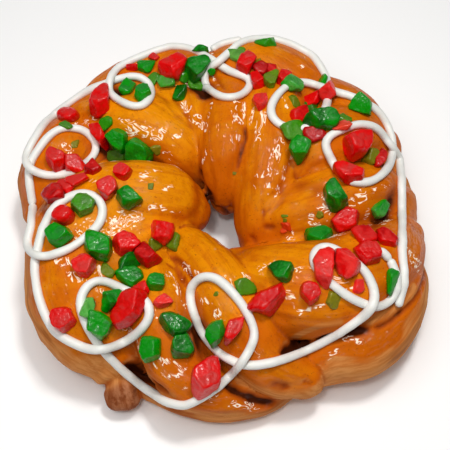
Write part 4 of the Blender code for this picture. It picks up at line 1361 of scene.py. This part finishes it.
def mottle_group():
    """Cloudy mottling round 0.5, coarse and fine, on Object coordinates. Used by the crust and the fruit."""
    group = bpy.data.node_groups.new("Mottle", "ShaderNodeTree")
    group.interface.new_socket("Vector", in_out="INPUT", socket_type="NodeSocketVector")
    group.interface.new_socket("Coarse Scale", in_out="INPUT", socket_type="NodeSocketFloat")
    group.interface.new_socket("Fine Scale", in_out="INPUT", socket_type="NodeSocketFloat")
    group.interface.new_socket("Coarse", in_out="OUTPUT", socket_type="NodeSocketFloat")
    group.interface.new_socket("Fine", in_out="OUTPUT", socket_type="NodeSocketFloat")
    inside = Nodes(group)
    into = group.nodes.new("NodeGroupInput").outputs
    out = group.nodes.new("NodeGroupOutput").inputs
    coarse = inside.noise(into["Vector"], into["Coarse Scale"], 3.0, 0.55, 0.6)
    fine = inside.noise(into["Vector"], into["Fine Scale"], 4.0, 0.6, 0.2)
    inside.put(out["Coarse"], inside.ranged(coarse, 0.3, 0.7))
    inside.put(out["Fine"], inside.ranged(fine, 0.3, 0.7))
    return group


def mottle(nodes, coarse, fine):
    """The mottling with these scales, on the piece's own places."""
    group = bpy.data.node_groups.get("Mottle") or mottle_group()
    node = nodes.add(
        "ShaderNodeGroup", {"node_tree": group}, Vector=nodes.place(), Coarse_Scale=coarse, Fine_Scale=fine
    )
    return node.outputs["Coarse"], node.outputs["Fine"]


def crust_material(loaf):
    """Glazed crust: gold on the crowns and amber on the slopes, partly its own browning and partly painted
    light from above, painted shade down to nearly black in the creases, a dry, streaky brown low on the
    outside and mottled brown on the dough's end. The glaze is a coat that has set in wrinkles, with pale
    curls painted in as its glints."""
    made, nodes, shader = new_material("bread_crust")
    place = nodes.place()
    strand = nodes.attribute("strand", "Vector")
    coarse, fine = mottle(nodes, 38.0, 210.0)

    # Gold where the crown mark is high: partly the crust's own gold, partly painted light on what faces up.
    crown = nodes.math("ADD", nodes.attribute("crown"), nodes.around(coarse, 0.5))
    colour = nodes.mix(nodes.ranged(crown, 0.0, 0.9), rgba(loaf.amber), rgba(loaf.gold))
    rusty = nodes.streaks(strand, (32, 190, 190), 3.0, 0.6, 0.5)
    colour = nodes.mix(nodes.ranged(rusty, 0.46, 0.7, 0.0, 0.45), colour, RUST)
    colour = nodes.mix(nodes.ranged(fine, 0.5, 1.0, 0.0, 0.25), colour, RUST_FINE)
    specks = nodes.noise(place, 700.0, 2.0, 0.6)
    colour = nodes.mix(nodes.ranged(specks, 0.63, 0.72, 0.0, 0.6), colour, SPECK)

    wall = nodes.attribute("wall")
    pale = nodes.streaks(strand, (20, 300, 300), 4.0, 0.6, 0.3)
    burnt = nodes.streaks(strand, (30, 130, 130), 3.0, 0.6, 0.4)
    wall_colour = nodes.mix(nodes.ranged(pale, 0.35, 0.65), rgba(loaf.wall), WALL_PALE)
    wall_colour = nodes.mix(nodes.ranged(burnt, 0.5, 0.7, 0.0, 0.55), wall_colour, WALL_BURNT)
    dry = nodes.math("ADD", wall, nodes.around(burnt, 0.9))
    colour = nodes.mix(nodes.ranged(dry, 0.1, 0.95), colour, wall_colour)

    bands = nodes.streaks(strand, (40, 70, 70), 4.0, 0.7, 0.8)
    tail_colour = nodes.mix(nodes.ranged(bands, 0.36, 0.64), TAIL_PALE, TAIL_BROWN)
    tail_colour = nodes.mix(nodes.ranged(fine, 0.5, 1.0, 0.0, 0.6), tail_colour, TAIL_BURNT)
    colour = nodes.mix(nodes.attribute("tail"), colour, tail_colour)

    # Painted shade: hollows, valleys and creases darkened, the deepest to nearly black.
    deep = nodes.attribute("deep")
    colour = nodes.mix(nodes.ranged(deep, 0.05, 0.55), colour, HOLLOW_SHADE)
    colour = nodes.mix(nodes.ranged(deep, 0.45, 1.1), colour, rgba(loaf.dark))

    # Painted highlight: thin pale curls mixed into the colour stand in for glints of the glaze.
    glint_thread = nodes.math("ABSOLUTE", nodes.around(nodes.streaks(strand, (150, 320, 320), 1.0, 0.5, 1.0)))
    glint_thread = nodes.ranged(glint_thread, 0.015, 0.065, 1.0, 0.0)
    glint_gaps = nodes.ranged(nodes.noise(place, 170.0, 1.0, 0.5, 0.5), 0.44, 0.52)
    glint_patches = nodes.math("ADD", nodes.attribute("curls"), nodes.around(nodes.noise(place, 240.0, 1.0)))
    glint_line = nodes.math("MULTIPLY", nodes.math("MULTIPLY", glint_thread, glint_gaps), nodes.ranged(glint_patches, 0.35, 0.6))
    colour = nodes.mix(glint_line, colour, PAINTED_GLINT)

    wrinkles = nodes.around(nodes.streaks(strand, (90, 150, 150), 1.0, 0.5, 1.5), nodes.attribute("sure"))
    set_inputs(
        nodes, shader, Base_Color=colour, Roughness=nodes.ranged(wall, 0.2, 0.9, 0.5, 0.7),
        Coat_Weight=nodes.math("MULTIPLY", nodes.attribute("glaze"), 0.3), Coat_Roughness=0.05,
        Specular_IOR_Level=0.06, Normal=nodes.bump(wrinkles, 0.08, 0.0035),
        Coat_Normal=nodes.bump(wrinkles, 1.0, 0.0035),
    )
    return made


def icing_material(icing):
    """Matt white royal icing, with the faint unevenness of a set bead."""
    made, nodes, shader = new_material("icing")
    coarse, fine = mottle(nodes, 60.0, 500.0)
    low = tuple(0.93 * channel for channel in icing.colour)
    uneven = nodes.math("ADD", coarse, nodes.math("MULTIPLY", fine, 0.3))
    set_inputs(
        nodes, shader, Base_Color=nodes.mix(coarse, rgba(low), rgba(icing.colour)), Roughness=0.42,
        Subsurface_Weight=0.15, Subsurface_Radius=(1.0, 0.9, 0.7), Subsurface_Scale=0.002,
        Normal=nodes.bump(uneven, 0.25, 0.0006),
    )
    return made


def fruit_material(name, colour, dark, pale, glazed, sugar_and_sheen):
    """Candied fruit: wet and slightly see-through, cloudy inside, dark or pale by each piece's tone, paler on
    the facets that face up, partly a sugary film and partly painted sheen of the light from above, and nearer
    to the crust's colour where glaze has soaked in."""
    made, nodes, shader = new_material(name)
    coarse, fine = mottle(nodes, 120.0, 700.0)
    tone = nodes.attribute("tone")
    cloudy = nodes.math("ADD", tone, nodes.around(coarse, 0.7))
    shade = nodes.mix(nodes.ranged(cloudy, 0.0, -1.0), rgba(colour), rgba(dark))
    shade = nodes.mix(nodes.ranged(cloudy, 0.15, 1.15), shade, rgba(pale))
    # Painted sheen: facets that face up are paled, partly a sugary film and partly the light from above.
    top_sheen = nodes.math("MULTIPLY", nodes.attribute("top"), nodes.ranged(coarse, 0.1, 0.9, 0.1, 0.85))
    top_sheen = nodes.math("MULTIPLY", top_sheen, nodes.ranged(tone, -1.0, 0.0, 0.3, 1.0))
    shade = nodes.mix(top_sheen, shade, rgba(sugar_and_sheen))
    shade = nodes.mix(nodes.attribute("glaze"), shade, rgba(glazed))
    uneven = nodes.math("ADD", coarse, nodes.math("MULTIPLY", fine, 0.2))
    set_inputs(
        nodes, shader, Base_Color=shade, Roughness=nodes.ranged(fine, 0.0, 1.0, 0.3, 0.5), IOR=1.45,
        Specular_IOR_Level=0.3, Coat_Weight=0.2, Coat_Roughness=0.12, Subsurface_Weight=0.35,
        Subsurface_Radius=(1.0, 0.5, 0.4), Subsurface_Scale=0.003, Normal=nodes.bump(uneven, 0.4, 0.0009),
    )
    return made


def fruit_materials(fruit):
    """The red and the green fruit's materials, made once."""
    red = bpy.data.materials.get("candied_red_flesh")
    green = bpy.data.materials.get("candied_green_flesh")
    return (
        red or fruit_material("candied_red_flesh", fruit.red, **RED_SHADES),
        green or fruit_material("candied_green_flesh", fruit.green, **GREEN_SHADES),
    )


# Operators


class RING_BREAD_OT_crust(bpy.types.Operator):
    """Bake the braided crust"""

    bl_idname = "ring_bread.crust"
    bl_label = "Bake the crust"

    def execute(self, context):
        loaf = context.scene.ring_bread_loaf
        points, quads, marks = bake_crust(loaf)
        mesh = new_mesh("crust", points, quads, NO_TRIANGLES)
        for name, values in marks.items():
            mark(mesh, name, values)
        crust = add_piece("crust", mesh, crust_material(loaf))
        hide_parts("bread_ring")
        return {"FINISHED"}


class RING_BREAD_OT_icing(bpy.types.Operator):
    """Pipe the looping bead of white icing over the crust"""

    bl_idname = "ring_bread.icing"
    bl_label = "Pipe the icing"

    def execute(self, context):
        icing = context.scene.ring_bread_icing
        mesh = new_mesh("icing_bead", *pipe_icing(surface_tree("crust"), icing.diameter, icing.sunk))
        bead = add_piece("icing_bead", mesh, icing_material(icing))
        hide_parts("bread_ring")
        return {"FINISHED"}


class RING_BREAD_OT_dice(bpy.types.Operator):
    """Round off and colour each large die of candied fruit"""

    bl_idname = "ring_bread.dice"
    bl_label = "Dress the diced fruit"

    def execute(self, context):
        fruit = context.scene.ring_bread_fruit
        ball, quads = ball_directions(DIE_SPLITS)
        heights = crust_heights()
        tree = surface_tree("crust", "icing_bead")
        bead = points_of(bpy.data.objects["icing_bead"].data)
        kinds = (("red", RED_TONES, RED_CORNERS), ("green", GREEN_TONES, GREEN_CORNERS))
        for material, (kind, tones, outlines) in zip(fruit_materials(fruit), kinds):
            for number, (tone, corners) in enumerate(zip(tones, outlines), 1):
                points = cut_die(kind, number, corners, ball, tree, bead, heights, fruit.sharpness)
                mesh = new_mesh(f"{kind}_die_{number:02d}", points, quads, NO_TRIANGLES)
                glazed = OLIVE_DICE.get(number, 0.0) if kind == "green" else 0.0
                mark_fruit(mesh, points, quads, tone, glazed)
                die = add_piece(mesh.name, mesh, material)
                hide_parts(f"candied_{kind}_{number:02d}")
        return {"FINISHED"}


class RING_BREAD_OT_scraps(bpy.types.Operator):
    """Press the small scraps of fruit into the glaze"""

    bl_idname = "ring_bread.scraps"
    bl_label = "Add the fruit scraps"

    def execute(self, context):
        fruit = context.scene.ring_bread_fruit
        tree = surface_tree("crust", "icing_bead")
        kinds = (("red", RED_SCRAPS), ("green", GREEN_SCRAPS))
        for material, (kind, places) in zip(fruit_materials(fruit), kinds):
            shape, tones, glazed = scraps_of(places, tree, fruit.sharpness, SCRAP_SEEDS[kind])
            mesh = new_mesh(f"{kind}_scraps", *shape)
            mark_fruit(mesh, *shape[:2], tones, glazed)
            add_piece(mesh.name, mesh, material)
        return {"FINISHED"}


def area_light(name, place, size, power, colour):
    """A soft square lamp that points at the middle of the loaf."""
    lamp = bpy.data.lights.new(name, "AREA")
    lamp.size = size
    lamp.energy = power
    lamp.color = colour
    obj = bpy.data.objects.new(name, lamp)
    obj.location = place
    obj.rotation_euler = (Vector((0, 0, 0.03)) - obj.location).to_track_quat("-Z", "Y").to_euler()
    bpy.context.scene.collection.objects.link(obj)
    return obj


class RING_BREAD_OT_stage(bpy.types.Operator):
    """Set the floor, the lamps and the camera"""

    bl_idname = "ring_bread.stage"
    bl_label = "Set the stage"

    def execute(self, context):
        stage = context.scene.ring_bread_stage
        bpy.ops.mesh.primitive_plane_add(size=6.0)
        floor = context.object
        floor.name = "floor"
        made, _, shader = new_material("floor")
        shader.inputs["Base Color"].default_value = rgba(stage.floor)
        shader.inputs["Roughness"].default_value = 0.9
        floor.data.materials.append(made)
        soft = area_light("soft", (-0.15, -0.15, 1.00), 1.00, stage.soft_power, (1.0, 1.0, 1.0))
        soft.visible_glossy = False
        area_light("key", (0.12, 0.06, 0.90), 0.12, stage.key_power, (1.0, 0.99, 0.97))
        area_light("front", (-0.10, -0.30, 0.88), 0.10, stage.front_power, (1.0, 1.0, 1.0))
        world = bpy.data.worlds.new("sky")
        world.use_nodes = True
        sky = world.node_tree.nodes["Background"].inputs
        sky["Color"].default_value = (1.0, 1.0, 1.0, 1.0)
        sky["Strength"].default_value = stage.sky
        context.scene.world = world
        context.scene.view_settings.view_transform = "Standard"
        camera = bpy.data.cameras.new("camera")
        camera.sensor_width = SENSOR
        camera.lens = LENS
        eye = bpy.data.objects.new("camera", camera)
        eye.location = SIGHT
        eye.rotation_euler = (AIM - SIGHT).to_track_quat("-Z", "Y").to_euler()
        context.scene.collection.objects.link(eye)
        context.scene.camera = eye
        return {"FINISHED"}


class RING_BREAD_PT_panel(bpy.types.Panel):
    """The loaf's settings and steps"""

    bl_label = "Ring bread"
    bl_idname = "RING_BREAD_PT_panel"
    bl_space_type = "VIEW_3D"
    bl_region_type = "UI"
    bl_category = "Ring bread"

    def draw(self, context):
        for settings, _ in SETTINGS:
            group = getattr(context.scene, settings)
            box = self.layout.box()
            for name in group.bl_rna.properties.keys():
                if name not in ("rna_type", "name"):
                    box.prop(group, name)
        for operator in OPERATORS:
            self.layout.operator(operator.bl_idname)


SETTINGS = (
    ("ring_bread_loaf", LoafSettings),
    ("ring_bread_icing", IcingSettings),
    ("ring_bread_fruit", FruitSettings),
    ("ring_bread_stage", StageSettings),
)
OPERATORS = (
    RING_BREAD_OT_crust,
    RING_BREAD_OT_icing,
    RING_BREAD_OT_dice,
    RING_BREAD_OT_scraps,
    RING_BREAD_OT_stage,
)


def register():
    for name, settings in SETTINGS:
        bpy.utils.register_class(settings)
        setattr(bpy.types.Scene, name, PointerProperty(type=settings))
    for operator in OPERATORS:
        bpy.utils.register_class(operator)
    bpy.utils.register_class(RING_BREAD_PT_panel)


def unregister():
    bpy.utils.unregister_class(RING_BREAD_PT_panel)
    for operator in reversed(OPERATORS):
        bpy.utils.unregister_class(operator)
    for name, settings in reversed(SETTINGS):
        delattr(bpy.types.Scene, name)
        bpy.utils.unregister_class(settings)


def main():
    register()
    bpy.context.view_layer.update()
    bpy.ops.ring_bread.crust()
    bpy.ops.ring_bread.icing()
    bpy.ops.ring_bread.dice()
    bpy.ops.ring_bread.scraps()
    bpy.ops.ring_bread.stage()


if __name__ == "__main__":
    main()
